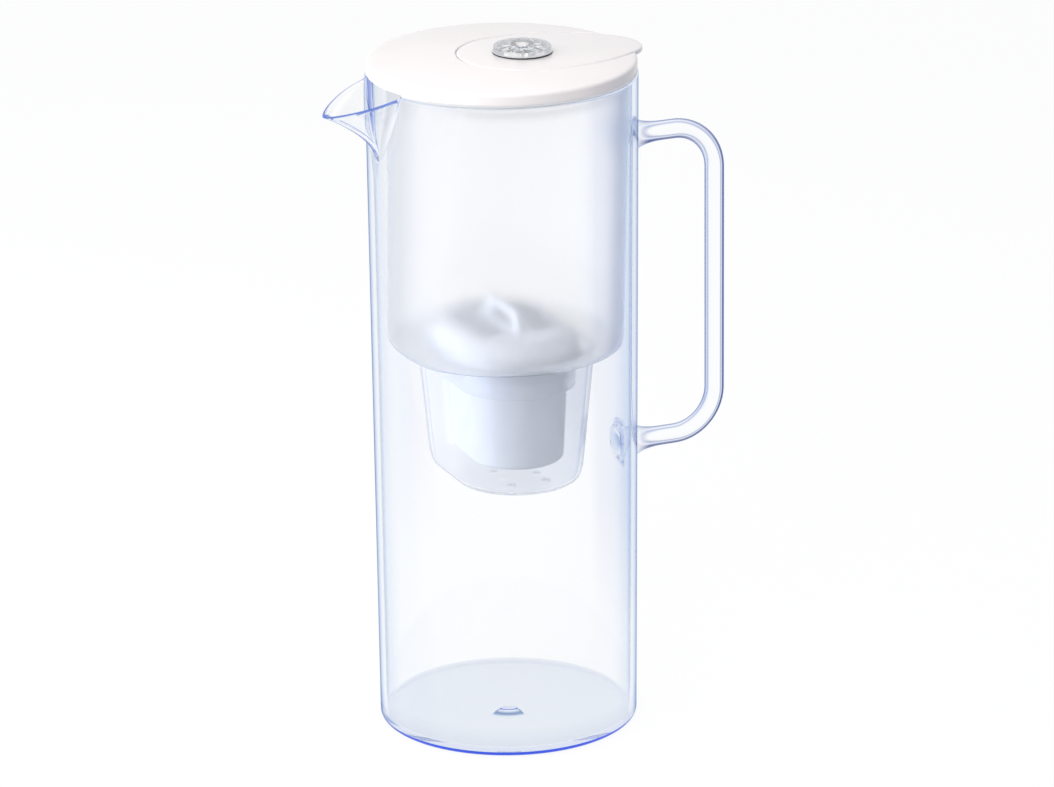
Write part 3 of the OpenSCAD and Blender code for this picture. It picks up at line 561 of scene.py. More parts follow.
def carve(body, tool, operation):
    """Applies an exact boolean with another object, which is then deleted."""
    modifier = body.modifiers.new("carve", "BOOLEAN")
    modifier.object, modifier.operation, modifier.solver = tool, operation, "EXACT"
    bpy.context.view_layer.update()
    body.data = bpy.data.meshes.new_from_object(body.evaluated_get(bpy.context.evaluated_depsgraph_get()))
    body.modifiers.clear()
    bpy.data.objects.remove(tool)


# %% Where the glass is rod, where it was worked and where shade is painted
# The floor's value paints a faint shadow; the others tint the worked edges
FLOOR_PAINTED_SHADE, MARK_TINT, FOOT_TINT, LIP_TINT, KEEL_TINT = 0.15, 0.7, 1.0, 0.5, 0.8


def mark_worked_glass(mesh):
    """Stores on each point whether it is rod, how dark its edge is (the mark, the foot and the spout's lip), the
    floor's painted shadow and the rod's painted side shade.
    """
    points = np.empty(3 * len(mesh.vertices))
    mesh.vertices.foreach_get("co", points)
    x, y, z = points.reshape(-1, 3).T / MM
    t = (np.degrees(np.arctan2(y, x)) % 360 - 180) / SPOUT_HALF
    out = np.hypot(x, y)
    # The floor's faint grey is a painted shadow
    worked = np.where(z < FLOOR + 0.4, FLOOR_PAINTED_SHADE, 0.0)
    worked[(out < 12) & (z > 0.1) & (z < FLOOR - 0.1)] = MARK_TINT
    worked[(out > BASE_R - BASE_CORNER - 0.1) & (z < BASE_CORNER - 0.2)] = FOOT_TINT
    t = np.clip(t, -1, 1)
    low, top = fold_z(t) - SPOUT_LAP, lip_z(t) - RIM_ROUND
    middle = glass_r(top) + lip_out(t) * ((top - low) / (lip_z(t) - low)) ** 2 - WALL / 2
    outer = (np.abs(t) < 0.99) & (out > middle + 0.1)
    worked[outer & (z > top - 2 * RIM_ROUND)] = LIP_TINT
    worked[(np.abs(t) < 0.05) & (out > RIM_R + 1) & (x < 0)] = KEEL_TINT
    mesh.attributes.new("worked_edge_and_floor_shade", "FLOAT", "POINT").data.foreach_set("value", worked)
    # The rod's outer and lower side is darker: painted shade
    normals = np.empty(3 * len(mesh.vertices))
    mesh.vertices.foreach_get("normal", normals)
    shade = np.clip(0.5 + normals.reshape(-1, 3) @ (0.7, 0, -0.5), 0, 1)
    mesh.attributes.new("rod_painted_shade", "FLOAT", "POINT").data.foreach_set("value", shade)
    mesh.attributes.new("rod", "FLOAT", "POINT").data.foreach_set("value", np.clip((x - RIM_R - 1) / 8, 0, 1))


carve(jug, make_handle(), "UNION")
mark_worked_glass(jug.data)
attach(jug, "jug")
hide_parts("glass_jug", "handle_rod")
print("jug and handle faces:", len(jug.data.polygons), "materials:", len(jug.data.materials))

# %% [markdown]
# ## Hopper and cup
# The hopper is one moulding that hangs in the glass by its flange. It is round but drawn in on the spout's
# side, so that water can pass. In its floor an oval slope leads down to the collar that grips the cartridge.
# All those outlines can be written as a distance from the middle for each direction. So every ring of the
# moulding is one row of points, and one skin makes the whole closed shell with its thickness. The cup below
# is a clearer oval bucket, drilled with two rows of drain holes that Geometry Nodes place and cut.


# %% Outlines of the hopper
side_angles = np.radians(np.linspace(0, 360, 289)[:-1])


def hopper_r(z, inward, blend=1.2):
    """Distance to the hopper's wall in each direction, the round and the drawn-in part joined softly."""
    share = (z - HOP_Z) / (HOP_TOP - HOP_Z)
    round_part = HOP_R0 + (HOP_R1 - HOP_R0) * share - inward
    arc_r = FLAT_R0 + (FLAT_R1 - FLAT_R0) * share - inward
    drawn_in = FLAT_X * np.cos(side_angles) + np.sqrt(arc_r ** 2 - (FLAT_X * np.sin(side_angles)) ** 2)
    return (round_part + drawn_in - np.sqrt((round_part - drawn_in) ** 2 + blend ** 2)) / 2


def oval_r(r):
    """Distance to the oval of radius r in each direction."""
    c, s = np.abs(np.cos(side_angles)), np.abs(np.sin(side_angles))
    flat = r / np.maximum(c, 1e-9)
    ends = OVAL_A * s + np.sqrt(np.maximum(r ** 2 - (OVAL_A * c) ** 2, 0))
    return np.where(flat * s <= OVAL_A, flat, ends)


def between(a, b, share):
    """The point, row or distance that lies that share of the way from a to b."""
    return a + (b - a) * share


# %% The hopper's shell
def make_hopper():
    """The moulding as a ring of rows: underside, outside wall, flange, inside wall, floor, slope and collar."""
    row = lambda r, z: circle_row(side_angles, r, z)
    turn = np.abs(np.degrees(side_angles) - 180)
    flange = np.where(turn < SPOUT_CLEAR, hopper_r(FLANGE_Z, 0), FLANGE_R)
    slope_run = HOP_Z + HOP_T - SLOPE_LOW
    rows = []
    # Underside, from the collar outwards
    rows += [row(oval_r(COLLAR_R + COLLAR_T), z) for z in (COLLAR_LOW + 0.5, 164, 167, SLOPE_LOW - 1.4)]
    rows.append(row(oval_r(COLLAR_R + slope_run), HOP_Z - 0.6))
    rows.append(row(oval_r(COLLAR_R + slope_run + 1), HOP_Z))
    rows += [row(between(oval_r(CUP_R), hopper_r(HOP_Z, HOP_CORNER), s), HOP_Z) for s in (0.02, 0.3, 0.6, 0.95)]
    for a in np.radians(np.linspace(-90, 0, 8)):
        rows.append(row(hopper_r(HOP_Z, HOP_CORNER * (1 - math.cos(a))), HOP_Z + HOP_CORNER * (1 + math.sin(a))))
    # Outside wall, flange and inside wall
    rows += [row(hopper_r(z, 0), z) for z in np.linspace(HOP_Z + HOP_CORNER, FLANGE_Z - 0.3, 26)[1:]]
    rows.append(row(np.maximum(hopper_r(FLANGE_Z, 0), np.minimum(flange, hopper_r(FLANGE_Z, -0.4))), FLANGE_Z))
    rows += [row(flange - 0.06, FLANGE_Z), row(flange, FLANGE_Z + 0.06), row(flange, HOP_TOP - 0.06),
             row(flange - 0.06, HOP_TOP)]
    rows += [row(hopper_r(HOP_TOP, HOP_T - 0.3), HOP_TOP), row(hopper_r(HOP_TOP, HOP_T), HOP_TOP - 0.3)]
    rows += [row(hopper_r(z, HOP_T), z) for z in np.linspace(HOP_TOP - 0.3, HOP_Z + HOP_T + 1.5, 26)[1:]]
    for a in np.radians(np.linspace(0, 90, 6))[1:]:
        rows.append(row(hopper_r(HOP_Z, HOP_T + 1.5 * (1 - math.cos(a))), HOP_Z + HOP_T + 1.5 * (1 - math.sin(a))))
    # Floor, slope and collar
    rows += [row(between(hopper_r(HOP_Z, HOP_T + 1.5), oval_r(COLLAR_R + slope_run + 0.6), s), HOP_Z + HOP_T)
             for s in (0.1, 0.4, 0.7, 1.0)]
    rows.append(row(oval_r(COLLAR_R + slope_run - 0.4), HOP_Z + HOP_T - 0.4))
    rows.append(row(oval_r(COLLAR_R + slope_run / 2), SLOPE_LOW + slope_run / 2))
    rows.append(row(oval_r(COLLAR_R + 0.5), SLOPE_LOW + 0.5))
    rows += [row(oval_r(COLLAR_R), z) for z in (SLOPE_LOW - 0.5, 167, 164, COLLAR_LOW + 0.5)]
    rows += [row(oval_r(COLLAR_R + 0.4), COLLAR_LOW), row(oval_r(COLLAR_R + COLLAR_T - 0.4), COLLAR_LOW)]
    return skin("hopper_frosted_shell", rows, ring=True)


hopper = make_hopper()
for finish in (frosted, flange_frost, edge_painted_shade_frost):
    hopper.data.materials.append(finish)
for face in hopper.data.polygons:
    height, out = face.center.z / MM, face.center.xy.length / MM
    if height > FLANGE_Z - 0.1:
        face.material_index = 1
    # The lower outer corner takes the greyer copy: painted shade
    elif HOP_Z + 0.05 < height < HOP_Z + 1.2 and out > HOP_R0 - 6:
        face.material_index = 2
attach(hopper, "hopper")
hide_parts("hopper_shell")


# %% The cup, with its drain holes by Geometry Nodes
def make_cup():
    """An oval bucket with drawn-in sides, its outside and inside in one skin."""
    row = lambda r, z: circle_row(side_angles, r, z)
    low, draft, foot = HOP_Z - CUP_H, CUP_DRAFT / CUP_H, CUP_R - CUP_DRAFT
    lean = math.degrees(math.atan(draft))
    middle, levels = (foot - CUP_CORNER, low + CUP_CORNER), np.linspace(low + CUP_CORNER + 2, HOP_Z - 0.1, 16)
    rows = [row(oval_r(foot - CUP_CORNER) * s, low) for s in (0.25, 0.5, 0.75)]
    rows += [row(oval_r(r), z) for r, z in corner(*middle, CUP_CORNER, -90, -lean, 8)]
    rows += [row(oval_r(foot + draft * (z - low)), z) for z in levels]
    rows += [row(oval_r(foot - HOP_T + draft * (z - low)), z) for z in levels[::-1]]
    rows += [row(oval_r(r), z) for r, z in corner(*middle, CUP_CORNER - HOP_T, -lean, -90, 8)]
    rows += [row(oval_r(foot - CUP_CORNER) * s, low + HOP_T) for s in (0.75, 0.5, 0.25)]
    return skin("cup_frosted", rows, start=(0, 0, low), end=(0, 0, low + HOP_T))


def drill_tree():
    tree, given = new_tree("drill_two_rows", {
        "Bore": ("NodeSocketFloat", 0.004), "Pitch": ("NodeSocketFloat", 0.01),
        "Across": ("NodeSocketFloat", 0.0165), "Height": ("NodeSocketFloat", 0.117),
        "Rows": ("NodeSocketInt", 6), "Material": ("NodeSocketMaterial", None)})
    gaps = add(tree, "ShaderNodeMath", {0: given.outputs["Rows"], 1: 1.0}, operation="SUBTRACT")
    length = add(tree, "ShaderNodeMath", {0: gaps, 1: given.outputs["Pitch"]}, operation="MULTIPLY")
    grid = add(tree, "GeometryNodeMeshGrid", {
        "Size X": given.outputs["Across"], "Size Y": length, "Vertices X": 2, "Vertices Y": given.outputs["Rows"]})
    lift = add(tree, "ShaderNodeCombineXYZ", {"Z": given.outputs["Height"]})
    placed = add(tree, "GeometryNodeTransform", {"Geometry": grid.outputs["Mesh"], "Translation": lift})
    radius = add(tree, "ShaderNodeMath", {0: given.outputs["Bore"], 1: 0.5}, operation="MULTIPLY")
    drill = add(tree, "GeometryNodeMeshCylinder", {"Vertices": 32, "Radius": radius, "Depth": given.outputs["Bore"]})
    drills = add(tree, "GeometryNodeInstanceOnPoints", {
        "Points": placed, "Instance": drill.outputs["Mesh"]})
    cut = add(tree, "GeometryNodeMeshBoolean", {"Mesh 1": given.outputs["Geometry"]}, operation="DIFFERENCE")
    real = add(tree, "GeometryNodeRealizeInstances", {"Geometry": drills})
    tree.links.new(real.outputs[0], cut.inputs["Mesh 2"])
    painted = add(tree, "GeometryNodeSetMaterial", {
        "Geometry": cut.outputs["Mesh"], "Material": given.outputs["Material"]})
    add(tree, "NodeGroupOutput", {0: painted})
    return tree


cup = make_cup()
cup.data = grow(cup, drill_tree(), {
    "Bore": 4 * MM, "Pitch": 10 * MM, "Across": 2 * COLLAR_R / 3 * MM, "Height": (HOP_Z - CUP_H + HOP_T / 2) * MM,
    "Rows": 6, "Material": cup_frost})
cup.data.set_sharp_from_angle(angle=math.radians(40))
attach(cup, "hopper")
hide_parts("filter_cup")
print("hopper and cup faces:", len(hopper.data.polygons), len(cup.data.polygons))

# %% [markdown]
# ## Lid and flap
# The flap's outline is an egg: a round end about the dial, two long sides and a thumb tip, which are three arcs
# that run into each other without a kink. The lid is cut along the same outline, a little wider. Both are
# crowned, so the cut edge rises and falls with the surface. Rows that follow the egg keep that edge crisp and
# let the light line along it run true.

# %% The egg outline
LEAN = math.radians(9)
side_c = np.array([DIAL_X + (SIDE_R - FLAP_R) * math.sin(LEAN), -(SIDE_R - FLAP_R) * math.cos(LEAN)])
tip_r = (SIDE_R ** 2 - side_c[1] ** 2 - (TIP - side_c[0]) ** 2) / (2 * (SIDE_R - (TIP - side_c[0])))
tip_x = TIP - tip_r
tip_turn = math.atan2(-side_c[1], tip_x - side_c[0])


def egg(grow_by, steps=(24, 44, 56)):
    """The outline grown by some millimetres, as points counterclockwise from the tip."""
    def run(c, r, start, stop, count, last):
        angles = np.linspace(start, stop, count + 1)
        angles = angles if last else angles[:-1]
        return np.stack([c[0] + (r + grow_by) * np.cos(angles), c[1] + (r + grow_by) * np.sin(angles)], axis=1)

    half = np.concatenate([
        run((tip_x, 0), tip_r, 0, tip_turn, steps[0], False),
        run(side_c, SIDE_R, tip_turn, math.pi / 2 + LEAN, steps[1], False),
        run((DIAL_X, 0), FLAP_R, math.pi / 2 + LEAN, math.pi, steps[2], True)])
    return np.concatenate([half, half[-2:0:-1] * (1, -1)])


def crowned(plan, sink):
    """Rows of plan points on the crowned surface, sunk by some millimetres."""
    return np.column_stack([plan, top_z(np.hypot(plan[:, 0], plan[:, 1])) - sink])


def level(plan, z):
    """The same points at one height."""
    return np.column_stack([plan, np.full(len(plan), z)])


# %% The flap
def make_flap():
    """The flap's cover as a ring of rows, from the bore over the well and the crown and back underneath."""
    outline, middle = egg(0), np.array([DIAL_X, 0])
    turn = np.arctan2(outline[:, 1], outline[:, 0] - DIAL_X)
    disc = lambda r: middle + r * np.stack([np.cos(turn), np.sin(turn)], axis=1)
    well, bore, floor = WELL_R, SHAFT_D / 2 + 0.05, top_z(DIAL_X) - WELL_H
    rows = [level(disc(bore), floor)]
    rows += [level(disc(r), floor) for r in (6, 9, well - 0.2)]
    rows += [level(disc(well), floor + 0.2), crowned(disc(well), 0.25), crowned(disc(well + 0.08), 0.08),
             crowned(disc(well + 0.25), 0)]
    rows += [crowned(between(disc(well + 0.3), egg(-1.0), s), 0) for s in np.linspace(0, 1, 16)]
    for a in np.radians(np.linspace(15, 90, 6)):
        rows.append(crowned(egg(-EGG_ROUND * (1 - math.sin(a))), EGG_ROUND * (1 - math.cos(a))))
    rows += [crowned(egg(0), s) for s in (0.9, 1.3, 1.7)]
    rows += [crowned(egg(-0.15), SKIN - 0.1), crowned(egg(-0.4), SKIN)]
    rows += [crowned(between(egg(-0.6), disc(bore), s), SKIN) for s in (0, 0.25, 0.5, 0.75, 1.0)]
    return skin("flap_white_cover", [r[::-1] for r in rows], ring=True)


flap = make_flap()
flap.data.materials.append(white_abs)
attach(flap, "flap")
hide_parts("flap_cover")


# %% The lid cover
def make_lid():
    """A crowned disc with a skirt, from which the flap's outline and the space under it are cut."""
    angles = np.radians(np.linspace(0, 360, 361)[:-1])
    row = lambda r, z: circle_row(angles, r, z)
    inside = LID_R - SKIRT
    rows = [row(r, top_z(r) - SKIN) for r in np.linspace(4, inside - 0.6, 14)]
    rows += [row(inside - 0.1, top_z(inside) - SKIN - 0.25), row(inside, top_z(inside) - SKIN - 0.7),
             row(inside, LID_Z + 0.2), row(inside + 0.2, LID_Z), row(LID_R - 0.08, LID_Z), row(LID_R, LID_Z + 0.08)]
    rows += [row(r, z) for r, z in corner(LID_R - LID_ROUND, LID_Z + LID_H - LID_ROUND, LID_ROUND, 0, 78, 8)]
    rows += [row(r, top_z(r)) for r in np.linspace(LID_R - LID_ROUND - 0.6, 4, 22)]
    body = skin("lid_white_cover", rows, start=(0, 0, float(top_z(0)) - SKIN), end=(0, 0, float(top_z(0))))
    # The cutter's side follows the crown, with a small round at the top edge
    floor = LID_Z + LID_H - SKIN - 0.2
    cut_rows = [level(egg(GAP), floor)]
    cut_rows += [crowned(egg(GAP), s) for s in (1.4, 0.9, 0.5)]
    cut_rows += [crowned(egg(GAP + 0.5 * (1 - math.cos(a))), 0.5 * (1 - math.sin(a)))
                 for a in np.radians(np.linspace(20, 80, 5))]
    cut_rows += [crowned(egg(GAP + 0.8), -0.3), level(egg(GAP + 0.8), 320)]
    cutter = skin("lid_cutter", cut_rows, start=(DIAL_X, 0, floor), end=(DIAL_X, 0, 320))
    below = [level(egg(GAP), floor - 4), level(egg(GAP), floor + 0.5)]
    pocket = skin("lid_pocket", below, start=(DIAL_X, 0, floor - 4), end=(DIAL_X, 0, floor + 0.5))
    plug = skin("lid_pocket_limit", [row(inside, floor - 5), row(inside, floor + 1)],
                start=(0, 0, floor - 5), end=(0, 0, floor + 1))
    carve(pocket, plug, "INTERSECT")
    carve(body, cutter, "DIFFERENCE")
    carve(body, pocket, "DIFFERENCE")
    return body


lid = make_lid()
lid.data.materials.clear()
lid.data.materials.append(white_abs)
lid.data.set_sharp_from_angle(angle=math.radians(32))
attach(lid, "lid")
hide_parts("lid_cover")
print("lid and flap faces:", len(lid.data.polygons), len(flap.data.polygons))

# %% [markdown]
# ## Dial
# The dial is a clear acrylic knob with cut facets over a printed disc, a ring painted black below as the shadow
# of the gap under the knob, and a small pale hub. The facets bend the print below into a broken grey sparkle. So
# the knob's top is a real cut surface, with one groove between each pair of marks. The marks are small printed
# bars on the disc, one for each month, which Geometry Nodes set round a circle.

# %% The knob
ACRYLIC_IOR = 1.49
knob_z = top_z(DIAL_X) + KNOB_LIFT
dial_angles = np.radians(np.linspace(0, 360, 241)[:-1])


def dial_row(r, z):
    """One row of points round the dial's middle."""
    made = circle_row(dial_angles, r, z)
    made[:, 0] += DIAL_X
    return made


def make_knob():
    """Shaft, underside, rim and faceted dome, down to the hub's recess."""
    top, rim = knob_z + KNOB_H, knob_z + KNOB_H * 0.8
    # 0 on a facet's ridge and 1 in the groove between two facets
    wave = np.abs((np.degrees(dial_angles) * TICKS / 360) % 1 - 0.5) * 2
    rows = [dial_row(SHAFT_D / 2 - 0.1, SHAFT_LOW), dial_row(SHAFT_D / 2, SHAFT_LOW + 0.2)]
    rows += [dial_row(SHAFT_D / 2, z) for z in (304, 306, knob_z - 0.4)]
    rows += [dial_row(SHAFT_D / 2 + 0.4, knob_z), dial_row(6, knob_z), dial_row(10, knob_z),
             dial_row(KNOB_R - 0.25, knob_z), dial_row(KNOB_R - 0.05, knob_z + 0.12),
             dial_row(KNOB_R, knob_z + 0.3)]
    rows += [dial_row(KNOB_R - 0.3, rim - 0.15), dial_row(KNOB_R - 0.5, rim)]
    for share in np.linspace(0.04, 1, 9):
        r = (KNOB_R - 0.5) + (HUB_R + 1.6 - KNOB_R + 0.5) * share
        dome = rim + (top - 0.05 - rim) * math.sin(share * math.pi / 2) ** 0.8
        rows.append(dial_row(r, dome - FACET * wave * math.sin(min(1, share * 1.15) * math.pi)))
    rows += [dial_row(HUB_R + 0.3, top - 0.02), dial_row(HUB_R + 0.05, top - 0.1), dial_row(HUB_R, top - 0.3),
             dial_row(HUB_R, top - HUB_SINK + 0.02), dial_row(HUB_R - 0.1, top - HUB_SINK)]
    return skin("dial_clear_knob", rows, start=(DIAL_X, 0, SHAFT_LOW), end=(DIAL_X, 0, top - HUB_SINK))


def make_acrylic(name):
    """Clear polished acrylic, a little greyer at grazing angles."""
    made, tree = new_material(name)
    facing = add(tree, "ShaderNodeLayerWeight", {"Blend": 0.4}).outputs["Facing"]
    colour = add(tree, "ShaderNodeValToRGB", {"Fac": facing}, [(0.0, WHITE), (1.0, "#E4E7EC")])
    bends = add(tree, "ShaderNodeBsdfRefraction", {"Color": colour, "Roughness": 0.0, "IOR": ACRYLIC_IOR})
    mirrors = add(tree, "ShaderNodeBsdfAnisotropic", {"Color": WHITE, "Roughness": 0.04})
    share = add(tree, "ShaderNodeFresnel", {"IOR": ACRYLIC_IOR}).outputs["Fac"]
    both = add(tree, "ShaderNodeMixShader", {0: share, 1: bends, 2: mirrors})
    lamp_ray = add(tree, "ShaderNodeLightPath").outputs["Is Shadow Ray"]
    through = add(tree, "ShaderNodeBsdfTransparent", {"Color": "#E6E9EE"})
    passed = add(tree, "ShaderNodeMixShader", {0: lamp_ray, 1: both, 2: through})
    add(tree, "ShaderNodeOutputMaterial", {"Surface": passed})
    return made


acrylic = make_acrylic("cut_clear_acrylic")
knob = make_knob()
knob.data.materials.append(acrylic)
knob.data.set_sharp_from_angle(angle=math.radians(25))
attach(knob, "dial")
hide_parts("dial_cap")


# %% The printed marks
def marks_tree():
    tree, given = new_tree("marks_round_a_circle", {
        "Marks": ("NodeSocketInt", TICKS), "Radius": ("NodeSocketFloat", 0.01),
        "Length": ("NodeSocketFloat", 0.002), "Width": ("NodeSocketFloat", 0.0006),
        "Material": ("NodeSocketMaterial", None)})
    circle = add(tree, "GeometryNodeCurvePrimitiveCircle", {
        "Resolution": given.outputs["Marks"], "Radius": given.outputs["Radius"]})
    turned = add(tree, "FunctionNodeAlignEulerToVector", {
        "Vector": add(tree, "GeometryNodeInputPosition")}, axis="X")
    size = add(tree, "ShaderNodeCombineXYZ", {
        "X": given.outputs["Length"], "Y": given.outputs["Width"], "Z": 0.00006})
    bar = add(tree, "GeometryNodeMeshCube", {"Size": size})
    bars = add(tree, "GeometryNodeInstanceOnPoints", {
        "Points": circle, "Instance": bar.outputs["Mesh"], "Rotation": turned})
    real = add(tree, "GeometryNodeRealizeInstances", {"Geometry": bars})
    painted = add(tree, "GeometryNodeSetMaterial", {
        "Geometry": real, "Material": given.outputs["Material"]})
    add(tree, "NodeGroupOutput", {0: painted})
    return tree


def ring_of_marks(name, radius, length, width, count, z):
    """Printed bars round the dial's middle, at one height."""
    carrier = bpy.data.objects.new(name, bpy.data.meshes.new(name))
    bpy.context.scene.collection.objects.link(carrier)
    carrier.data = grow(carrier, marks_tree(), {
        "Marks": count, "Radius": radius * MM, "Length": length * MM, "Width": width * MM, "Material": tick_grey})
    carrier.data.transform(Matrix.Translation((DIAL_X * MM, 0, z * MM)))
    return carrier


scale_top = top_z(DIAL_X) - 0.2
marks = ring_of_marks("dial_marks", 9.6, 2.6, 0.7, TICKS, scale_top + 0.02)
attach(marks, "flap")
print("marks:", len(marks.data.polygons) // 6)


# %% [markdown]
# ## The pieces that keep their CAD shape
# The cartridge and its inner layers, the liners, seals, pins, spring and clip are right as they are, so they
# stay and only get their material. The disc under the knob is printed with plain dark rays and rings on
# silver. A sine of the angle and a sine of the distance draw them, so they stay sharp at any size. The ring
# under the knob is painted black below, a painted shadow of the gap under the knob, and white on its face, and
# its height tells the two apart.


# %% Materials for the CAD nodes
RING_PITCH = 3.1


def make_scale_print(name):
    """A silvery printed disc: thin dark rays and rings about the dial's middle."""
    made, tree = new_material(name)
    where = add(tree, "ShaderNodeTexCoord").outputs["Object"]
    centred = add(tree, "ShaderNodeMapping", {"Vector": where, "Location": (-DIAL_X * MM, 0, 0)})
    spin = add(tree, "ShaderNodeTexGradient", {"Vector": centred}, gradient_type="RADIAL").outputs["Fac"]
    fields = add(tree, "ShaderNodeMath", {0: spin, 1: 2 * TICKS * math.tau}, operation="MULTIPLY")
    rays = add(tree, "ShaderNodeMath", {0: fields}, operation="SINE")
    away = add(tree, "ShaderNodeVectorMath", {0: centred}, operation="LENGTH").outputs["Value"]
    away = add(tree, "ShaderNodeMath", {0: away, 1: math.tau / (RING_PITCH * MM)}, operation="MULTIPLY")
    rings = add(tree, "ShaderNodeMath", {0: away}, operation="SINE")
    lines = add(tree, "ShaderNodeMath", {0: rays, 1: rings}, operation="MAXIMUM")
    colour = add(tree, "ShaderNodeValToRGB", {"Fac": lines}, [(0.0, "#FAFBFC"), (0.93, "#E8EAEE"), (0.99, "#3C4048")])
    main = add(tree, "ShaderNodeBsdfPrincipled", {"Base Color": colour, "Roughness": 0.25})
    add(tree, "ShaderNodeOutputMaterial", {"Surface": main})
    return made


def make_ring_painted_shadow(name):
    """A ring painted black below, as the shadow of the gap under the knob, with its upper face white."""
    made, tree = new_material(name)
    where = add(tree, "ShaderNodeTexCoord").outputs["Object"]
    height = add(tree, "ShaderNodeSeparateXYZ", {"Vector": where}).outputs["Z"]
    on_top = add(tree, "ShaderNodeMath", {0: height, 1: (knob_z - 0.03) * MM}, operation="GREATER_THAN")
    # Below the knob's underside the ring is painted black: the painted shadow of the gap
    colour = add(tree, "ShaderNodeMixRGB", {"Fac": on_top, "Color1": "#17181B", "Color2": "#F4F5F7"})
    main = add(tree, "ShaderNodeBsdfPrincipled", {"Base Color": colour, "Roughness": 0.4})
    add(tree, "ShaderNodeOutputMaterial", {"Surface": main})
    return made


scale_print = make_scale_print("printed_silver_disc")
ring_painted_shadow = make_ring_painted_shadow("ring_painted_gap_shadow_white_face")
finishes = {
    "cartridge_case": polypropylene, "cartridge_cap": cap_plastic, "cartridge_seal": silicone,
    "inlet_screen": screen_cloth, "outlet_screen": screen_cloth, "middle_felt": screen_cloth,
    "carbon_bed": carbon, "resin_bed": resin, "lid_liner": milky_liner, "flap_liner": inner_abs,
    "lid_seal": clear_silicone, "flap_seal": silicone, "hinge_pins": steel, "detent_spring": steel,
    "dial_clip": steel, "dial_ring": ring_painted_shadow, "dial_hub": hub_pink, "dial_scale": scale_print}
for name, finish in finishes.items():
    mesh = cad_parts[name].data
    mesh.materials.clear()
    mesh.materials.append(finish)
print("CAD nodes shown:", len(finishes))

# %% [markdown]
# ## Stage
# The object stands on a pale floor in a bright studio. Clear glass has no colour of its own to show, so a
# photographer gives it an outline with dark sheets at the sides, out of the picture. Here the camera sees
# white all round, while rays that glass bends or mirrors also find a pale blue sheet on the left and a navy one
# on the far right. The light that matt skins gather is weaker, a little stronger from the left, and the
# floor keeps a faint shadow. One soft lamp stands on the left and a small one lights the lid.


# %% Floor and surroundings
# Directions as the photograph's camera has them
FAR_RIGHT, TOWARDS_US = (0.917, -0.3987, 0.0), (-0.3987, -0.917, 0.0)
FLOOR_HALF, WHITE_NEAR, SHEETS_FROM = 6.0, 0.15, 0.35
GLOW_SHARE, GLOW = 0.84, 1.06


def sees_white(tree):
    """1 for rays that show the surroundings, also by way of glass, and 0 for light that matt skin gathers."""
    path = add(tree, "ShaderNodeLightPath")
    seen = add(tree, "ShaderNodeMath", {0: path.outputs["Is Camera Ray"], 1: path.outputs["Is Glossy Ray"]},
               operation="MAXIMUM")
    seen = add(tree, "ShaderNodeMath", {0: seen, 1: path.outputs["Is Transmission Ray"]},
               operation="MAXIMUM")
    direct = add(tree, "ShaderNodeMath", {0: path.outputs["Diffuse Depth"], 1: 0.5}, operation="LESS_THAN")
    return add(tree, "ShaderNodeMath", {0: seen, 1: direct}, operation="MULTIPLY")


def towards(tree, direction, axis, least=-1.0, most=1.0):
    """0 for directions whose cosine to the axis is least, rising to 1 where it is most."""
    unit = add(tree, "ShaderNodeVectorMath", {0: direction}, operation="NORMALIZE")
    along = add(tree, "ShaderNodeVectorMath", {0: unit, 1: axis}, operation="DOT_PRODUCT").outputs["Value"]
    return add(tree, "ShaderNodeMapRange", {"Value": along, "From Min": least, "From Max": most}).outputs["Result"]


def side_sheets(tree, direction):
    """White for the camera. Other rays also find the sheets, which end before the camera's own side."""
    sheets = add(tree, "ShaderNodeValToRGB", {"Fac": towards(tree, direction, FAR_RIGHT)}, [
        (0.0, "#E4ECF8"), (0.06, WHITE), (0.76, WHITE), (0.86, "#D4E2F6"), (0.94, "#8CA6DC"),
        (1.0, "#4A62B4")])
    our_side = towards(tree, direction, TOWARDS_US, 0.1, 0.3)
    sheets = add(tree, "ShaderNodeMixRGB", {"Fac": our_side, "Color1": sheets, "Color2": WHITE})
    camera_ray = add(tree, "ShaderNodeLightPath").outputs["Is Camera Ray"]
    return add(tree, "ShaderNodeMixRGB", {"Fac": camera_ray, "Color1": sheets, "Color2": WHITE})


def make_floor():
    """A large matt floor that glows white for the camera and for glass, and still takes some shadow."""
    mesh = bpy.data.meshes.new("studio_floor")
    corners = [(x * FLOOR_HALF, y * FLOOR_HALF, 0) for x, y in ((-1, -1), (1, -1), (1, 1), (-1, 1))]
    mesh.from_pydata(corners, [], [(0, 1, 2, 3)])
    made = bpy.data.objects.new("studio_floor", mesh)
    bpy.context.scene.collection.objects.link(made)
    made.location.z = -0.0004
    paint, tree = new_material("matt_white_sweep")
    where = add(tree, "ShaderNodeTexCoord").outputs["Object"]
    distance = add(tree, "ShaderNodeVectorMath", {0: where}, operation="LENGTH").outputs["Value"]
    away = add(tree, "ShaderNodeMapRange", {"Value": distance, "From Min": WHITE_NEAR, "From Max": SHEETS_FROM})
    colour = add(tree, "ShaderNodeMixRGB", {"Fac": away, "Color1": WHITE, "Color2": side_sheets(tree, where)})
    part = add(tree, "ShaderNodeMath", {0: sees_white(tree), 1: GLOW_SHARE}, operation="MULTIPLY")
    matt = add(tree, "ShaderNodeBsdfDiffuse", {"Color": "#F2F3F6"})
    glow = add(tree, "ShaderNodeEmission", {"Color": colour, "Strength": GLOW})
    both = add(tree, "ShaderNodeMixShader", {0: part, 1: matt, 2: glow})
    add(tree, "ShaderNodeOutputMaterial", {"Surface": both})
    mesh.materials.append(paint)


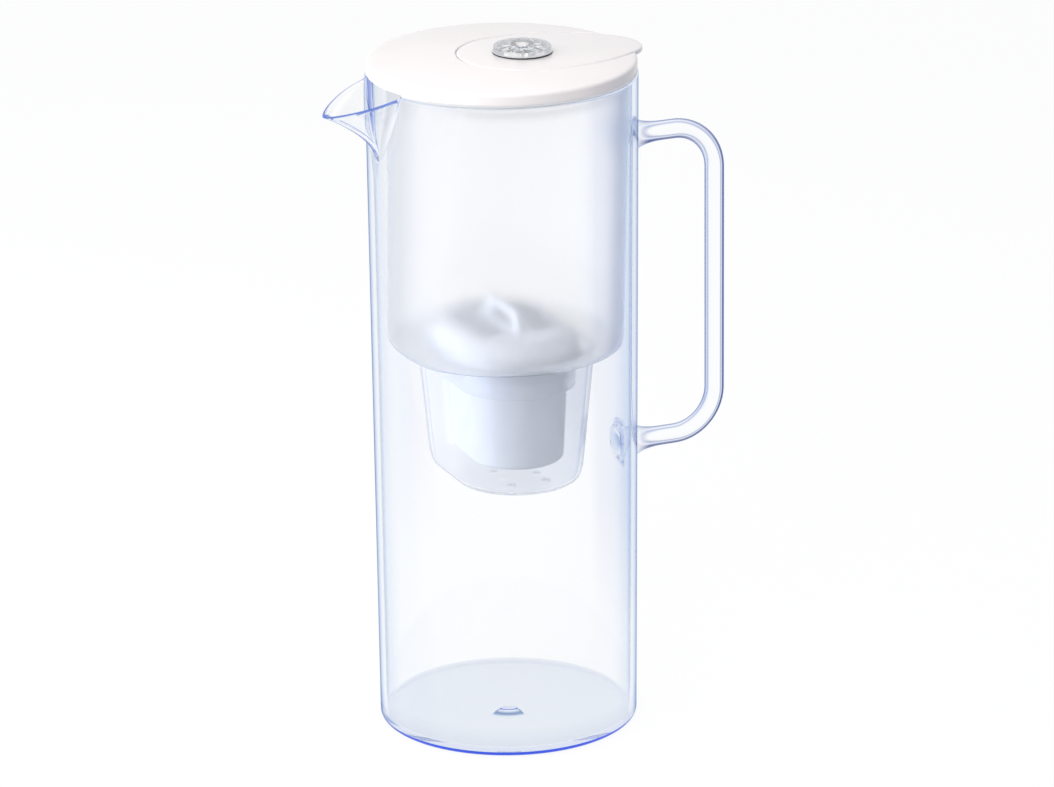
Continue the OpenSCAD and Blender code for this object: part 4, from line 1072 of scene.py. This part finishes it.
def make_world():
    """White with the side sheets for camera and glass, and a weaker fill from the left for matt skins."""
    world = bpy.data.worlds.new("white_studio")
    bpy.context.scene.world = world
    world.use_nodes = True
    tree = world.node_tree
    tree.nodes.clear()
    where = add(tree, "ShaderNodeTexCoord").outputs["Generated"]
    white = add(tree, "ShaderNodeBackground", {"Color": side_sheets(tree, where), "Strength": 1.0})
    level = add(tree, "ShaderNodeValToRGB", {"Fac": towards(tree, where, FAR_RIGHT)}, [
        (0.0, WHITE), (0.25, "#DCDCDC"), (0.5, "#C4C4C4"), (1.0, "#B2B2B2")])
    fill = add(tree, "ShaderNodeBackground", {"Color": "#F7F8F9", "Strength": level})
    back = add(tree, "ShaderNodeMixShader", {0: sees_white(tree), 1: fill, 2: white})
    add(tree, "ShaderNodeOutputWorld", {"Surface": back})


make_floor()
make_world()
print("floor half width in metres:", FLOOR_HALF)


# %% Lamps
def make_lamp(name, place, aim, size, power, colour):
    """A soft rectangular lamp that isn't itself seen, mirrored or found through glass."""
    lamp = bpy.data.lights.new(name, "AREA")
    lamp.shape, lamp.size, lamp.size_y = "RECTANGLE", *size
    lamp.energy, lamp.color = power, linear(colour)[:3]
    made = bpy.data.objects.new(name, lamp)
    bpy.context.scene.collection.objects.link(made)
    made.location = place
    made.rotation_euler = (Vector(aim) - Vector(place)).to_track_quat("-Z", "Y").to_euler()
    made.visible_camera = made.visible_glossy = made.visible_transmission = False


make_lamp("left_softbox", (-0.95, 0.32, 0.25), (0, 0, 0.2), (0.8, 0.8), 11.5, "#FFFDFB")
make_lamp("lid_softbox", (-0.12, -0.17, 0.57), (0, 0, 0.3), (0.2, 0.2), 0.58, "#FFFAF8")

# %% [markdown]
# ## Camera
# The photograph was taken with a long lens from a little above. Its place was found by fitting the outlines
# of rim, lid and base: 2.67 m away, 18.7 degrees up, and 23.5 degrees round from the side of the spout. The
# three small angles after that are how the lens was aimed.

# %% Camera at the photograph's angle
TURN, RISE, DISTANCE, AIM_H = math.radians(23.5), 0.3268462918, 2.67453, 0.153
PITCH, YAW, ROLL = 0.3275455668, 0.0038451464, -0.0100697177
LENS_PX, FRAME_PX, SENSOR = 5999.72, 1054, 36.0


def make_camera():
    """The camera in its place, turned and rolled as the fit found it."""
    forward = Vector((math.sin(YAW) * math.cos(PITCH), math.cos(YAW) * math.cos(PITCH), -math.sin(PITCH)))
    right = Vector((math.cos(YAW), -math.sin(YAW), 0))
    up = right.cross(forward)
    right, up = (math.cos(ROLL) * right + math.sin(ROLL) * up, math.cos(ROLL) * up - math.sin(ROLL) * right)
    place = Vector((0, -math.cos(RISE) * DISTANCE, AIM_H + math.sin(RISE) * DISTANCE))
    turn = Matrix.Rotation(-TURN, 3, "Z")
    basis = Matrix([turn @ right, turn @ up, turn @ -forward]).transposed()
    camera = bpy.data.cameras.new("camera")
    camera.sensor_width, camera.lens = SENSOR, LENS_PX * SENSOR / FRAME_PX
    camera.clip_start, camera.clip_end = 0.05, 50
    made = bpy.data.objects.new("camera", camera)
    bpy.context.scene.collection.objects.link(made)
    made.matrix_world = Matrix.Translation(turn @ place) @ basis.to_4x4()
    bpy.context.scene.camera = made
    return made


camera = make_camera()
print("camera at", [round(v, 3) for v in camera.location])

# %% [markdown]
# ## Last settings
# Glass inside glass inside frosted plastic needs many bends of each ray, so the bounce limits go up. The
# Standard view transform shows colours as they were written.

# %% Bounces, view transform and the closing line
scene = bpy.context.scene
scene.view_settings.view_transform = "Standard"
BENDS = 40
for limit in ("max_bounces", "transmission_bounces", "transparent_max_bounces", "glossy_bounces"):
    setattr(scene.cycles, limit, BENDS)
scene.cycles.diffuse_bounces = 8
scene.cycles.caustics_reflective = scene.cycles.caustics_refractive = True

bpy.context.view_layer.update()
